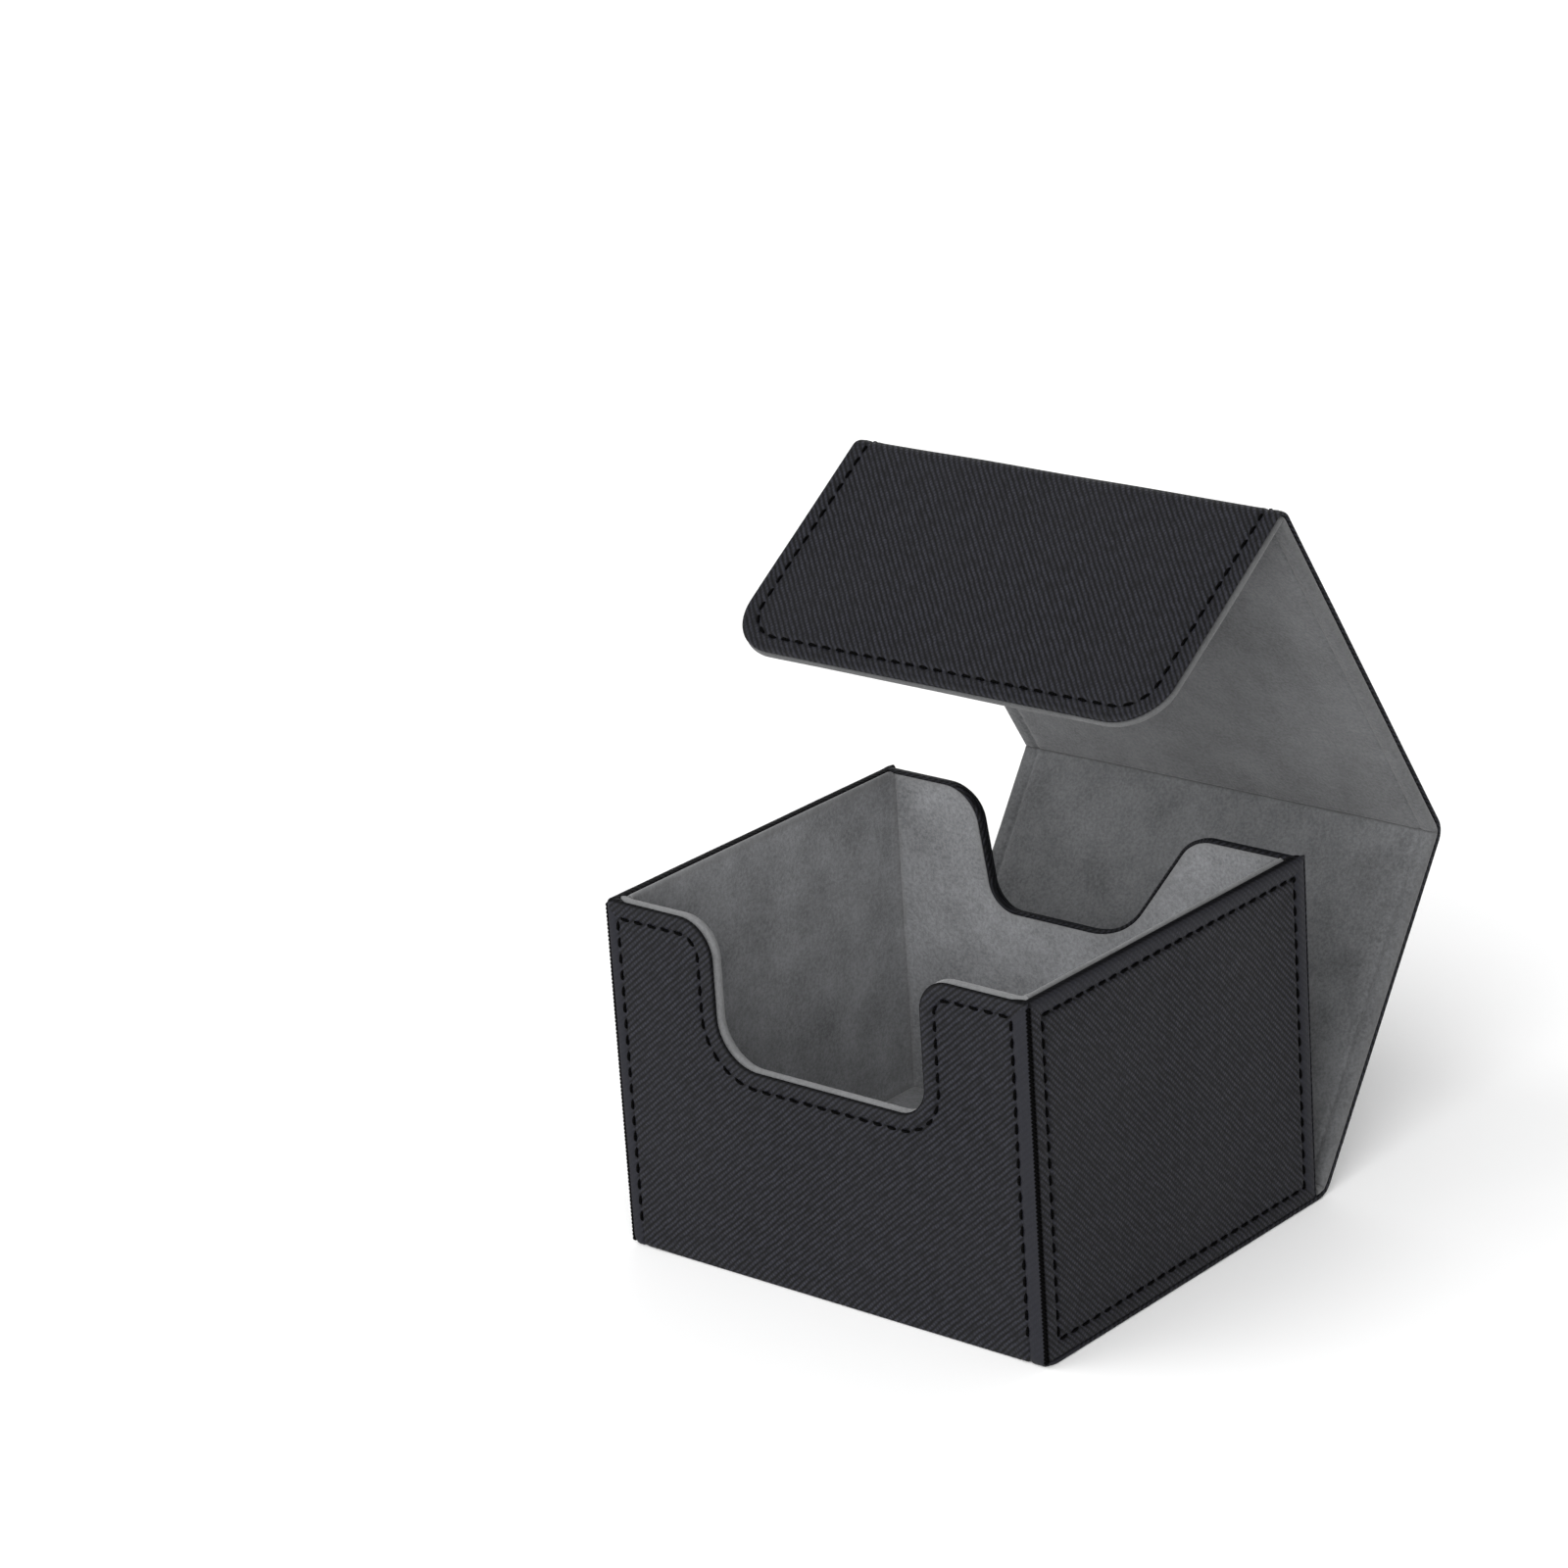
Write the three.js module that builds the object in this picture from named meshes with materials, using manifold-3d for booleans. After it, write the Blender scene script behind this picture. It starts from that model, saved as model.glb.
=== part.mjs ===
// Card deck box: an open box of covered board walls, and a cover of three covered boards that
// wraps round it. The cover folds behind the box, above it and in front of it on three soft
// folds, and magnets in its front flap hold it shut. It is drawn with the cover part open.
//
// Millimetres, +Z up. The origin is the middle of the underside, and the front faces -Y.
// Every wall and cover board is drawn in its own plane as seen from outside it, with u to the
// right, v up (or away from the fold) and w out of the face, and a group then places that plane.

import * as THREE from 'three';
import { mergeVertices } from 'three/addons/utils/BufferGeometryUtils.js';
import Module from 'manifold-3d';

const wasm = await Module();
wasm.setup();

// ---- driving dimensions ---------------------------------------------------------------------

const WIDTH = 104;
const DEPTH = 89;
const HEIGHT = 74;

// Layers of a box wall, from the outside in. Adjoining layers are one glue line apart.
const GLUE = 0.1;
const SKIN = 0.9;
const BOARD = 1.8;
const LINING = 0.7;
// Thickness of a skin or lining where it turns over the top of a wall.
const TURNED_EDGE = 0.8;
// How far a side wall's skin comes over the top of that wall.
const SIDE_SKIN_TURN = 1.8;
// The back wall's skin comes right over the top, and this far down inside.
const BACK_SKIN_FLANGE = 1.0;

// Layers of the cover, whose skin is the same sheet as the box's base and front.
const COVER_BOARD = 1.0;
const COVER_LINING = 0.6;
const REAR_CLEARANCE = 0.4;
const TOP_CLEARANCE = 1.5;
const FRONT_CLEARANCE = 2.1;
const FLAP_LENGTH = 54.7;
const FLAP_CORNER = 11;

// Half the flexible stretch of a fold, from its middle to the edge of a board.
const FOLD_REACH = 2.65;
// How far each fold is turned in the pose that is drawn. Shut, the rear and top folds turn a
// right angle, and the flap's turns 92 degrees, so that its free edge comes to the front wall.
const REAR_TURN = 55;
const TOP_TURN = 67;
const FLAP_TURN = 92;

// The two cut-outs in the top edge, seen from the front: corner x, corner z and rounding.
const FRONT_CUTOUT = [
  [-25.2, HEIGHT, 8],
  [-25.2, 45, 9.5],
  [25.8, 45, 6.5],
  [25.8, HEIGHT, 7],
];
const BACK_CUTOUT = [
  [-27.5, HEIGHT, 9],
  [-23.5, 48.8, 6],
  [8.4, 48.8, 16],
  [26.7, HEIGHT, 10],
];

const STITCH_INSET = 3.5;
const SEAM_WIDTH = 1.0;
const SEAM_DEPTH = 0.45;
const THREAD_WIDTH = 0.7;
const THREAD_THICKNESS = 0.4;

const MAGNET_RADIUS = 5;
const MAGNET_SPREAD = 28;
const MAGNET_HEIGHT = 35;
const MAGNET_PLAY = 0.2;
const MAGNET_RELIEF = 0.05;

const ARC_STEP = THREE.MathUtils.degToRad(11);
const CIRCLE_SIDES = 32;
// How far a cutting shape runs past what it cuts.
const OVERRUN = 5;

// ---- worked out from these ------------------------------------------------------------------

const HALF_WIDTH = WIDTH / 2;
const HALF_DEPTH = DEPTH / 2;
const WALL = SKIN + GLUE + BOARD + GLUE + LINING;
const COVER = SKIN + GLUE + COVER_BOARD + GLUE + COVER_LINING;
const UNDER_SKIN = SKIN + GLUE;
const UNDER_BOARD = UNDER_SKIN + BOARD + GLUE;
const BOARD_INSET = TURNED_EDGE + GLUE;
// The folds turn about the middle of the skin's thickness.
const MID_SKIN = SKIN / 2;
const FOLD_Y = HALF_DEPTH + REAR_CLEARANCE + COVER - MID_SKIN;
const FOLD_Z = MID_SKIN;
const REAR_LENGTH = HEIGHT + TOP_CLEARANCE + COVER - SKIN;
const TOP_LENGTH = FOLD_Y + HALF_DEPTH + FRONT_CLEARANCE + COVER - MID_SKIN;
const SHUT_TOP = FOLD_Z + REAR_LENGTH;

// ---- materials ------------------------------------------------------------------------------

const surface = (color, roughness, metalness = 0) =>
  new THREE.MeshStandardMaterial({ color, roughness, metalness });
const leatherette = surface(0x2b2c2f, 0.55);
const suede = surface(0x66686a, 0.95);
const chipboard = surface(0x8d877b, 0.9);
const thread = surface(0x151517, 0.7);
const nickel = surface(0xb9bbbd, 0.3, 1);

// ---- outlines -------------------------------------------------------------------------------

// Moves a line of corners to its right by a distance, and keeps its roundings concentric.
function offsetLine(corners, distance) {
  const points = corners.map(([u, v]) => new THREE.Vector2(u, v));
  return corners.map(([, , radius = 0], i) => {
    const into = points[Math.max(i, 1)].clone().sub(points[Math.max(i, 1) - 1]).normalize();
    const next = Math.min(i + 1, points.length - 1);
    const out = points[next].clone().sub(points[next - 1]).normalize();
    const mitre = new THREE.Vector2(into.y + out.y, -into.x - out.x);
    mitre.multiplyScalar(distance / (1 + into.dot(out)));
    const moved = points[i].clone().add(mitre);
    const turn = Math.sign(into.cross(out));
    return [moved.x, moved.y, radius ? radius + turn * distance : 0];
  });
}

// Points of a line through corners [u, v, radius], with each rounding as an arc.
function roundedLine(corners) {
  const points = corners.map(([u, v]) => new THREE.Vector2(u, v));
  return corners.flatMap(([, , radius = 0], i) => {
    if (!radius) return [points[i]];
    const into = points[i].clone().sub(points[i - 1]).normalize();
    const out = points[i + 1].clone().sub(points[i]).normalize();
    const turn = Math.atan2(into.cross(out), into.dot(out));
    const side = Math.sign(turn);
    const start = points[i].clone().addScaledVector(into, -radius * Math.tan(Math.abs(turn) / 2));
    const toCentre = new THREE.Vector2(-into.y, into.x).multiplyScalar(side * radius);
    const centre = start.clone().add(toCentre);
    const steps = Math.ceil(Math.abs(turn) / ARC_STEP);
    return Array.from({ length: steps + 1 }, (_, k) =>
      start.clone().rotateAround(centre, (turn * k) / steps));
  });
}

// A wall or cover board's outline from one lower corner over its top edge to the other.
const outline = (half, bottom, top, cutout = [], corner = 0) => [
  [-half, bottom],
  [-half, top, corner],
  ...cutout,
  [half, top, corner],
  [half, bottom],
];

// The strip between two distances inside a line.
const strip = (corners, near, far) => [
  ...roundedLine(offsetLine(corners, near)),
  ...roundedLine(offsetLine(corners, far)).reverse(),
];

const rectangle = (left, bottom, right, top) => [
  new THREE.Vector2(left, bottom),
  new THREE.Vector2(right, bottom),
  new THREE.Vector2(right, top),
  new THREE.Vector2(left, top),
];

const circle = (u, v, radius) =>
  new THREE.Path().absarc(u, v, radius, 0, 2 * Math.PI).getPoints(CIRCLE_SIDES / 2).slice(0, -1);

// A cut-out's top edge moved down into the wall by a distance.
function loweredCutout(cutout, half, distance) {
  const top = cutout[0][1];
  return offsetLine([[-half, top], ...cutout, [half, top]], distance).slice(1, -1);
}

// ---- solids ---------------------------------------------------------------------------------

function toSolid(geometry) {
  geometry.deleteAttribute('normal');
  geometry.deleteAttribute('uv');
  const merged = mergeVertices(geometry);
  return new wasm.Manifold(new wasm.Mesh({
    numProp: 3,
    vertProperties: new Float32Array(merged.attributes.position.array),
    triVerts: new Uint32Array(merged.index.array),
  }));
}

// A flat piece with this outline, and holes in it, between two levels of w.
function slab(points, [low, high], holes = []) {
  const shape = new THREE.Shape(points);
  shape.holes = holes.map((hole) => new THREE.Path(hole));
  const geometry = new THREE.ExtrudeGeometry(shape, { depth: high - low, bevelEnabled: false });
  return toSolid(geometry.translate(0, 0, low));
}

// A sheet whose edge turns over the edge of the board behind it. The pocket is the part of the
// lip's outline where the board goes.
function turnedSheet(sheet, sheetSpan, lip, lipSpan, pocket) {
  const pocketSpan = [lipSpan[0] - OVERRUN, lipSpan[1] + OVERRUN];
  return slab(sheet, sheetSpan).add(slab(lip, lipSpan).subtract(slab(pocket, pocketSpan)));
}

function toMesh(name, solid, material) {
  const { vertProperties, triVerts } = solid.getMesh();
  const geometry = new THREE.BufferGeometry();
  geometry.setAttribute('position', new THREE.BufferAttribute(vertProperties, 3));
  geometry.setIndex(new THREE.BufferAttribute(triVerts, 1));
  geometry.computeVertexNormals();
  const mesh = new THREE.Mesh(geometry, material);
  mesh.name = name;
  return mesh;
}

// ---- places ---------------------------------------------------------------------------------

const X = new THREE.Vector3(1, 0, 0);
const Y = new THREE.Vector3(0, 1, 0);
const Z = new THREE.Vector3(0, 0, 1);
const back = (axis) => axis.clone().negate();

// A group that turns u, v and w to these directions and stands at a point.
function plane(u, v, w, x, y, z, meshes) {
  const group = new THREE.Group();
  group.quaternion.setFromRotationMatrix(new THREE.Matrix4().makeBasis(u, v, w));
  group.position.set(x, y, z);
  group.add(...meshes);
  return group;
}

// ---- seams ----------------------------------------------------------------------------------

const SEAM_SPAN = [-SEAM_DEPTH, OVERRUN];
const THREAD_SPAN = [GLUE / 2 - SEAM_DEPTH, GLUE / 2 - SEAM_DEPTH + THREAD_THICKNESS];

// A seam along a line of corners: the groove that it presses in the skin, and its thread.
function openSeam(corners) {
  const along = (width) => strip(corners, STITCH_INSET - width / 2, STITCH_INSET + width / 2);
  return { groove: slab(along(SEAM_WIDTH), SEAM_SPAN), thread: slab(along(THREAD_WIDTH), THREAD_SPAN) };
}

// A seam right round a rectangle.
function closedSeam(left, bottom, right, top) {
  const at = (d) => rectangle(left + d, bottom + d, right - d, top - d);
  const ring = (width, span) =>
    slab(at(STITCH_INSET - width / 2), span, [at(STITCH_INSET + width / 2).reverse()]);
  return { groove: ring(SEAM_WIDTH, SEAM_SPAN), thread: ring(THREAD_WIDTH, THREAD_SPAN) };
}

// ---- the box --------------------------------------------------------------------------------

const SKIN_SPAN = [-SKIN, 0];
const BOARD_SPAN = [-UNDER_SKIN - BOARD, -UNDER_SKIN];
const LINING_SPAN = [-WALL, -UNDER_BOARD];
const INNER_HALF_WIDTH = HALF_WIDTH - UNDER_BOARD;
const INNER_HALF_DEPTH = HALF_DEPTH - UNDER_BOARD;
const LINING_BOTTOM = WALL + GLUE;
const SEAM_END = 2.5;

// The front or back wall's outline with its cut-out, lowered by a distance.
const notched = (cutout, half, bottom, distance = 0) => roundedLine(
  outline(half, bottom, HEIGHT - distance, loweredCutout(cutout, HALF_WIDTH, distance)));

function magnetHoles(height) {
  return [-1, 1].map((side) => circle(side * MAGNET_SPREAD, height, MAGNET_RADIUS + MAGNET_PLAY));
}

function magnets(prefix, height, [low, high]) {
  const span = [low + MAGNET_RELIEF, high - MAGNET_RELIEF];
  const one = (name, u) => toMesh(name, slab(circle(u, height, MAGNET_RADIUS), span), nickel);
  return [one(`${prefix}_left`, -MAGNET_SPREAD), one(`${prefix}_right`, MAGNET_SPREAD)];
}

// The board of the front or back wall fills the width between the side skins.
function notchedBoard(name, cutout, holes = []) {
  const half = HALF_WIDTH - UNDER_SKIN;
  const points = notched(cutout, half, UNDER_BOARD, BOARD_INSET);
  return toMesh(name, slab(points, BOARD_SPAN, holes), chipboard);
}

// A notched sheet's edge: the part of its outline that is nearer the rim than a distance.
const rimOf = (cutout, half, span, distance) => slab(notched(cutout, half, LINING_BOTTOM), span)
  .subtract(slab(notched(cutout, half + OVERRUN, -OVERRUN, distance),
    [span[0] - OVERRUN, span[1] + OVERRUN]));

function frontWall() {
  const seam = openSeam(outline(HALF_WIDTH, SEAM_END, HEIGHT, FRONT_CUTOUT));
  const skin = slab(notched(FRONT_CUTOUT, HALF_WIDTH, UNDER_SKIN), SKIN_SPAN);
  const lining = slab(notched(FRONT_CUTOUT, INNER_HALF_WIDTH, LINING_BOTTOM), LINING_SPAN)
    .add(rimOf(FRONT_CUTOUT, HALF_WIDTH - UNDER_SKIN, [-WALL, -UNDER_SKIN], TURNED_EDGE));
  return plane(X, Z, back(Y), 0, -HALF_DEPTH, 0, [
    toMesh('front_skin', skin.subtract(seam.groove), leatherette),
    notchedBoard('front_board', FRONT_CUTOUT, magnetHoles(MAGNET_HEIGHT)),
    toMesh('front_lining', lining, suede),
    ...magnets('front_magnet', MAGNET_HEIGHT, BOARD_SPAN),
    toMesh('front_thread', seam.thread, thread),
  ]);
}

// Seen from behind, left and right change places, and so does the way round the outline.
const seenFromBehind = (cutout) => cutout.map(([x, z, radius]) => [-x, z, radius]).reverse();

function backWall() {
  const cutout = seenFromBehind(BACK_CUTOUT);
  const skin = slab(notched(cutout, HALF_WIDTH, UNDER_SKIN), SKIN_SPAN)
    .add(rimOf(cutout, HALF_WIDTH - UNDER_SKIN, [-WALL, 0], TURNED_EDGE))
    .add(rimOf(cutout, INNER_HALF_WIDTH, LINING_SPAN, BACK_SKIN_FLANGE));
  const lining = notched(cutout, INNER_HALF_WIDTH, LINING_BOTTOM, BACK_SKIN_FLANGE + GLUE);
  return plane(back(X), Z, Y, 0, HALF_DEPTH, 0, [
    toMesh('back_skin', skin, leatherette),
    notchedBoard('back_board', cutout),
    toMesh('back_lining', slab(lining, LINING_SPAN), suede),
  ]);
}

function sideWall(side, u, w, x) {
  const skinHalf = HALF_DEPTH - UNDER_SKIN;
  const liningHalf = HALF_DEPTH - WALL - GLUE;
  const seam = closedSeam(-skinHalf, UNDER_SKIN, skinHalf, HEIGHT);
  const sheet = rectangle(-liningHalf, LINING_BOTTOM, liningHalf, HEIGHT);
  const pocket = rectangle(-liningHalf - OVERRUN, -OVERRUN, liningHalf + OVERRUN, HEIGHT - TURNED_EDGE);
  const lining = turnedSheet(sheet, LINING_SPAN, sheet, [-WALL, -SIDE_SKIN_TURN - GLUE], pocket);
  const skin = turnedSheet(
    rectangle(-skinHalf, UNDER_SKIN, skinHalf, HEIGHT), SKIN_SPAN,
    sheet, [-SIDE_SKIN_TURN, 0], pocket,
  );
  const board = rectangle(-INNER_HALF_DEPTH, UNDER_BOARD, INNER_HALF_DEPTH, HEIGHT - BOARD_INSET);
  return plane(u, Z, w, x, 0, 0, [
    toMesh(`${side}_skin`, skin.subtract(seam.groove), leatherette),
    toMesh(`${side}_board`, slab(board, BOARD_SPAN), chipboard),
    toMesh(`${side}_lining`, lining, suede),
    toMesh(`${side}_thread`, seam.thread, thread),
  ]);
}

function base() {
  const centred = (halfWidth, halfDepth) => rectangle(-halfWidth, -halfDepth, halfWidth, halfDepth);
  const boardOutline = centred(HALF_WIDTH - UNDER_SKIN, HALF_DEPTH - UNDER_SKIN);
  return plane(X, back(Y), back(Z), 0, 0, 0, [
    toMesh('base_skin', slab(centred(HALF_WIDTH, HALF_DEPTH), SKIN_SPAN), leatherette),
    toMesh('base_board', slab(boardOutline, BOARD_SPAN), chipboard),
    toMesh('base_lining', slab(centred(INNER_HALF_WIDTH, INNER_HALF_DEPTH), LINING_SPAN), suede),
  ]);
}

// ---- the cover ------------------------------------------------------------------------------

// In the cover, w is counted from the middle of the skin, where the folds turn.
const COVER_SKIN_SPAN = [-MID_SKIN, MID_SKIN];
const COVER_BOARD_TOP = -MID_SKIN - GLUE;
const COVER_BOARD_SPAN = [COVER_BOARD_TOP - COVER_BOARD, COVER_BOARD_TOP];
const COVER_LINING_TOP = COVER_BOARD_SPAN[0] - GLUE;
const COVER_LINING_SPAN = [COVER_LINING_TOP - COVER_LINING, COVER_LINING_TOP];
const COVER_LIP_SPAN = [COVER_LINING_SPAN[0], COVER_BOARD_TOP];

// The skin, board and lining of one cover panel from one level of v to another.
function coverPanel(name, edge, pocket, grooves, holes = []) {
  const skin = slab(roundedLine(edge), COVER_SKIN_SPAN);
  const cut = grooves.reduce((rest, groove) => rest.subtract(groove), skin);
  const lip = roundedLine(edge);
  const lining = turnedSheet(lip, COVER_LINING_SPAN, lip, COVER_LIP_SPAN, pocket(TURNED_EDGE, OVERRUN));
  const board = slab(pocket(BOARD_INSET, 0), COVER_BOARD_SPAN, holes);
  return [
    toMesh(`${name}_skin`, cut, leatherette),
    toMesh(`${name}_board`, board, chipboard),
    toMesh(`${name}_lining`, lining, suede),
  ];
}

// A panel between two folds, stitched along its two side edges.
function middlePanel(name, length) {
  const [low, high] = [FOLD_REACH, length - FOLD_REACH];
  const pocket = (inset, past) =>
    rectangle(inset - HALF_WIDTH, low - past, HALF_WIDTH - inset, high + past);
  const seamLine = (u) => (width) => rectangle(u - width / 2, low - GLUE, u + width / 2, high + GLUE);
  const sides = [
    { side: 'left', line: seamLine(HALF_WIDTH - STITCH_INSET) },
    { side: 'right', line: seamLine(STITCH_INSET - HALF_WIDTH) },
  ];
  const lift = (span) => span.map((w) => w + MID_SKIN);
  const grooves = sides.map(({ line }) => slab(line(SEAM_WIDTH), lift(SEAM_SPAN)));
  const threads = sides.map(({ side, line }) =>
    toMesh(`${name}_thread_${side}`, slab(line(THREAD_WIDTH), lift(THREAD_SPAN)), thread));
  return [...coverPanel(name, outline(HALF_WIDTH, low, high), pocket, grooves), ...threads];
}

// The flap has rounded free corners, a seam round its three free edges, and the magnets.
function flapPanel() {
  const edge = outline(HALF_WIDTH, FOLD_REACH, FLAP_LENGTH, [], FLAP_CORNER);
  const pocket = (inset, past) => roundedLine(offsetLine(
    outline(HALF_WIDTH, FOLD_REACH - past, FLAP_LENGTH, [], FLAP_CORNER), inset));
  const seam = openSeam(edge);
  const magnetLevel = SHUT_TOP - MAGNET_HEIGHT;
  const holes = magnetHoles(magnetLevel);
  const stitched = coverPanel('flap', edge, pocket, [seam.groove.translate(0, 0, MID_SKIN)], holes);
  return [
    ...stitched,
    ...magnets('flap_magnet', magnetLevel, COVER_BOARD_SPAN),
    toMesh('flap_thread', seam.thread.translate(0, 0, MID_SKIN), thread),
  ];
}

// One layer of a fold: a strip that bends round from the panel before the fold to the one
// after it, between two depths under the middle of the skin.
function foldLayer(name, turn, outer, inner, material) {
  const reach = FOLD_REACH - GLUE;
  const radius = reach / Math.tan(turn / 2);
  const centre = new THREE.Vector2(-radius, -reach);
  const steps = Math.ceil(turn / ARC_STEP);
  const arc = (r) => Array.from({ length: steps + 1 }, (_, k) =>
    new THREE.Vector2(r, 0).rotateAround(new THREE.Vector2(), (turn * k) / steps).add(centre));
  const section = [...arc(radius - outer), ...arc(radius - inner).reverse()];
  const solid = slab(section, [-HALF_WIDTH, HALF_WIDTH]);
  return plane(Y, Z, X, 0, 0, 0, [toMesh(name, solid, material)]);
}

// A fold and what it carries. The group's Z runs along the panel before the fold, and its Y
// points out of that panel.
function fold(name, degrees, z, panel, next = []) {
  const turn = THREE.MathUtils.degToRad(degrees);
  const liningTop = MID_SKIN + GLUE;
  const group = new THREE.Group();
  group.position.set(0, 0, z);
  const carried = new THREE.Group();
  carried.rotation.x = turn;
  carried.add(plane(back(X), Z, Y, 0, 0, 0, panel), ...next);
  group.add(
    foldLayer(`${name}_fold_skin`, turn, -MID_SKIN, MID_SKIN, leatherette),
    foldLayer(`${name}_fold_lining`, turn, liningTop, liningTop + COVER_LINING, suede),
    carried,
  );
  return group;
}

function cover() {
  const flap = fold('flap', FLAP_TURN, TOP_LENGTH, flapPanel());
  const top = fold('top', TOP_TURN, REAR_LENGTH, middlePanel('top_cover', TOP_LENGTH), [flap]);
  const rear = fold('rear', REAR_TURN, 0, middlePanel('rear_cover', REAR_LENGTH), [top]);
  const group = new THREE.Group();
  group.position.set(0, FOLD_Y, FOLD_Z);
  // The sheet comes to the first fold along the underside, so Z lies along +Y there.
  group.rotation.x = -Math.PI / 2;
  group.add(rear);
  return group;
}

// ---- the whole box --------------------------------------------------------------------------

const deckBox = new THREE.Group();
deckBox.add(
  frontWall(),
  backWall(),
  sideWall('left', back(Y), back(X), -HALF_WIDTH),
  sideWall('right', Y, X, HALF_WIDTH),
  base(),
  cover(),
);
deckBox.updateMatrixWorld(true);

export default deckBox;
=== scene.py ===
"""Card deck box: leatherette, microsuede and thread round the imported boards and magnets."""

import math

import bmesh
import bpy
import numpy as np
from mathutils import Matrix, Vector
from mathutils.geometry import delaunay_2d_cdt


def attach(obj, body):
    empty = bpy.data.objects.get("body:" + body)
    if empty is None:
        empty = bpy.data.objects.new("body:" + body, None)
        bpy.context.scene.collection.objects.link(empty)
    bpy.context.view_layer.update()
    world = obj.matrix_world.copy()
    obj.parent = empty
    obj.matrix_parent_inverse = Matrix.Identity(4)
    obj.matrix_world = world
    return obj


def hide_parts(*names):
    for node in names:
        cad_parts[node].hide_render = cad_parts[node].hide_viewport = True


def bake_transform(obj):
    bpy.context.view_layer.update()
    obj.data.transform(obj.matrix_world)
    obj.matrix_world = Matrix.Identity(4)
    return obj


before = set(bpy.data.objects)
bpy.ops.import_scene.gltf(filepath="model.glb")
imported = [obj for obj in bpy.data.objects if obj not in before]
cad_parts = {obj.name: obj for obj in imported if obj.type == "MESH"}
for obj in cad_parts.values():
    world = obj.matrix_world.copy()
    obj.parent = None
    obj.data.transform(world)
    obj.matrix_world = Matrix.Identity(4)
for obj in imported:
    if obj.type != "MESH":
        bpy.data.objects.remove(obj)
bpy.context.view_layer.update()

# ---- sizes, in millimetres ----

MM = 0.001
HALF_WIDTH = 52.0
HALF_DEPTH = 44.5
HEIGHT = 74.0
SKIN = 0.9              # leatherette
LINING = 0.7            # microsuede in the box
COVER_LINING = 0.6      # microsuede in the cover
WALL = 3.6
SIDE_START = 1.0        # the side panels stand this far in from the base and the back
INNER_WIDTH = HALF_WIDTH - WALL     # half of the inside's width and depth
INNER_DEPTH = HALF_DEPTH - WALL
LINING_START = 3.5      # height of the wall linings' lower edges
TUCK = 0.78             # how far the turned edges reach down to the boards
CORNER_GAP = 0.5        # the front corners' sheets stop this short of the corner
SIDE_TURN = 2.5         # how far the side panels come over the tops of their walls
BACK_FLANGE = 0.75      # how far the back skin comes down inside
RIM_CORNER = 0.6        # corner radius at the ends of the front and back rims
EDGE_X = HALF_WIDTH - CORNER_GAP
FRONT_END = HALF_DEPTH - CORNER_GAP
REAR_END = HALF_DEPTH - SIDE_START

# x, z and corner radius of the two cut-outs, seen from the front.
FRONT_CUTOUT = [(-25.2, 74, 8), (-25.2, 45, 9.5), (25.8, 45, 6.5), (25.8, 74, 7)]
BACK_CUTOUT = [(-27.5, 74, 9), (-23.5, 48.8, 6), (8.4, 48.8, 16), (26.7, 74, 10)]

# The wrap: one line in the Y-Z plane through the middle of the leatherette, from the top of
# the front wall under the box, up behind it, over it and down again.
MID = SKIN / 2
FOLD_REACH = 2.6        # from a fold's pivot to the ends of its curve
REAR_PIVOT = (47.15, 0.45)
REAR_LENGTH = 77.3
TOP_LENGTH = 96.0
FLAP_LENGTH = 54.7
REAR_TURN, TOP_TURN, FLAP_TURN = (math.radians(a) for a in (55, 67, 92))
FLAP_CORNER = 11.0
EDGE_ROUND = 0.95       # the wrap's bend under the front wall
FRONT_TURN_UNDER = 10.0
COVER_INSIDE = -2.25    # the cover lining's face, counted from the middle of the leatherette

STITCH_PITCH = 3.45
STITCH_LENGTH = 2.35
STITCH_SLANT = 0.12     # how far a stitch's ends stray from the seam's line
STITCH_PULL = 0.13      # how much deeper the groove is under the middle of a stitch
THREAD_RADIUS = 0.27
FIRST_STITCH = 1.0      # where the cover's seams start, from the end of the rear fold
RIB_PITCH = 1.02
STRAND_PITCH = 0.85     # of the strands that cross the ribs
TWIST_PITCH = 0.55      # of the thread
FILL_GRID = 3.0         # spacing of the points that fill a sheet
EDGE_TONE_BAND = 1.6         # how far the edge tones reach in from an edge: the leatherette's lighter edges, partly wear and partly painted highlight, and the lining's darker ones

# Directions of the ribs, and of the microsuede's streaks, in degrees.
FRONT_RIBS, SIDE_RIBS, BACK_RIBS, COVER_RIBS, NAP = -41.4, 132.8, 45, 46.3, 90

# Close oversewing in the two front corners.
WHIP_INSET = 0.36       # from the box's corner to the oversewing's middle
WHIP_PITCH = 0.82
WHIP_RADIUS = 0.37
WHIP_HALF_LENGTH = 0.4
WHIP_SLANT = 0.25
WHIP_START, WHIP_STOP = 1.3, HEIGHT - 1.2


def smooth(t):
    """0 up to t = 0, 1 from t = 1, and a smooth step between."""
    t = np.clip(t, 0, 1)
    return t * t * (3 - 2 * t)


# ---- where a sheet lies ----

def flat(origin, across, up, out):
    """Sheet coordinates (u, v, height) on a plane."""
    o, a, b, c = (np.array(x, float) for x in (origin, across, up, out))
    return lambda u, v, h: o + u[..., None] * a + v[..., None] * b + h[..., None] * c


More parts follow.
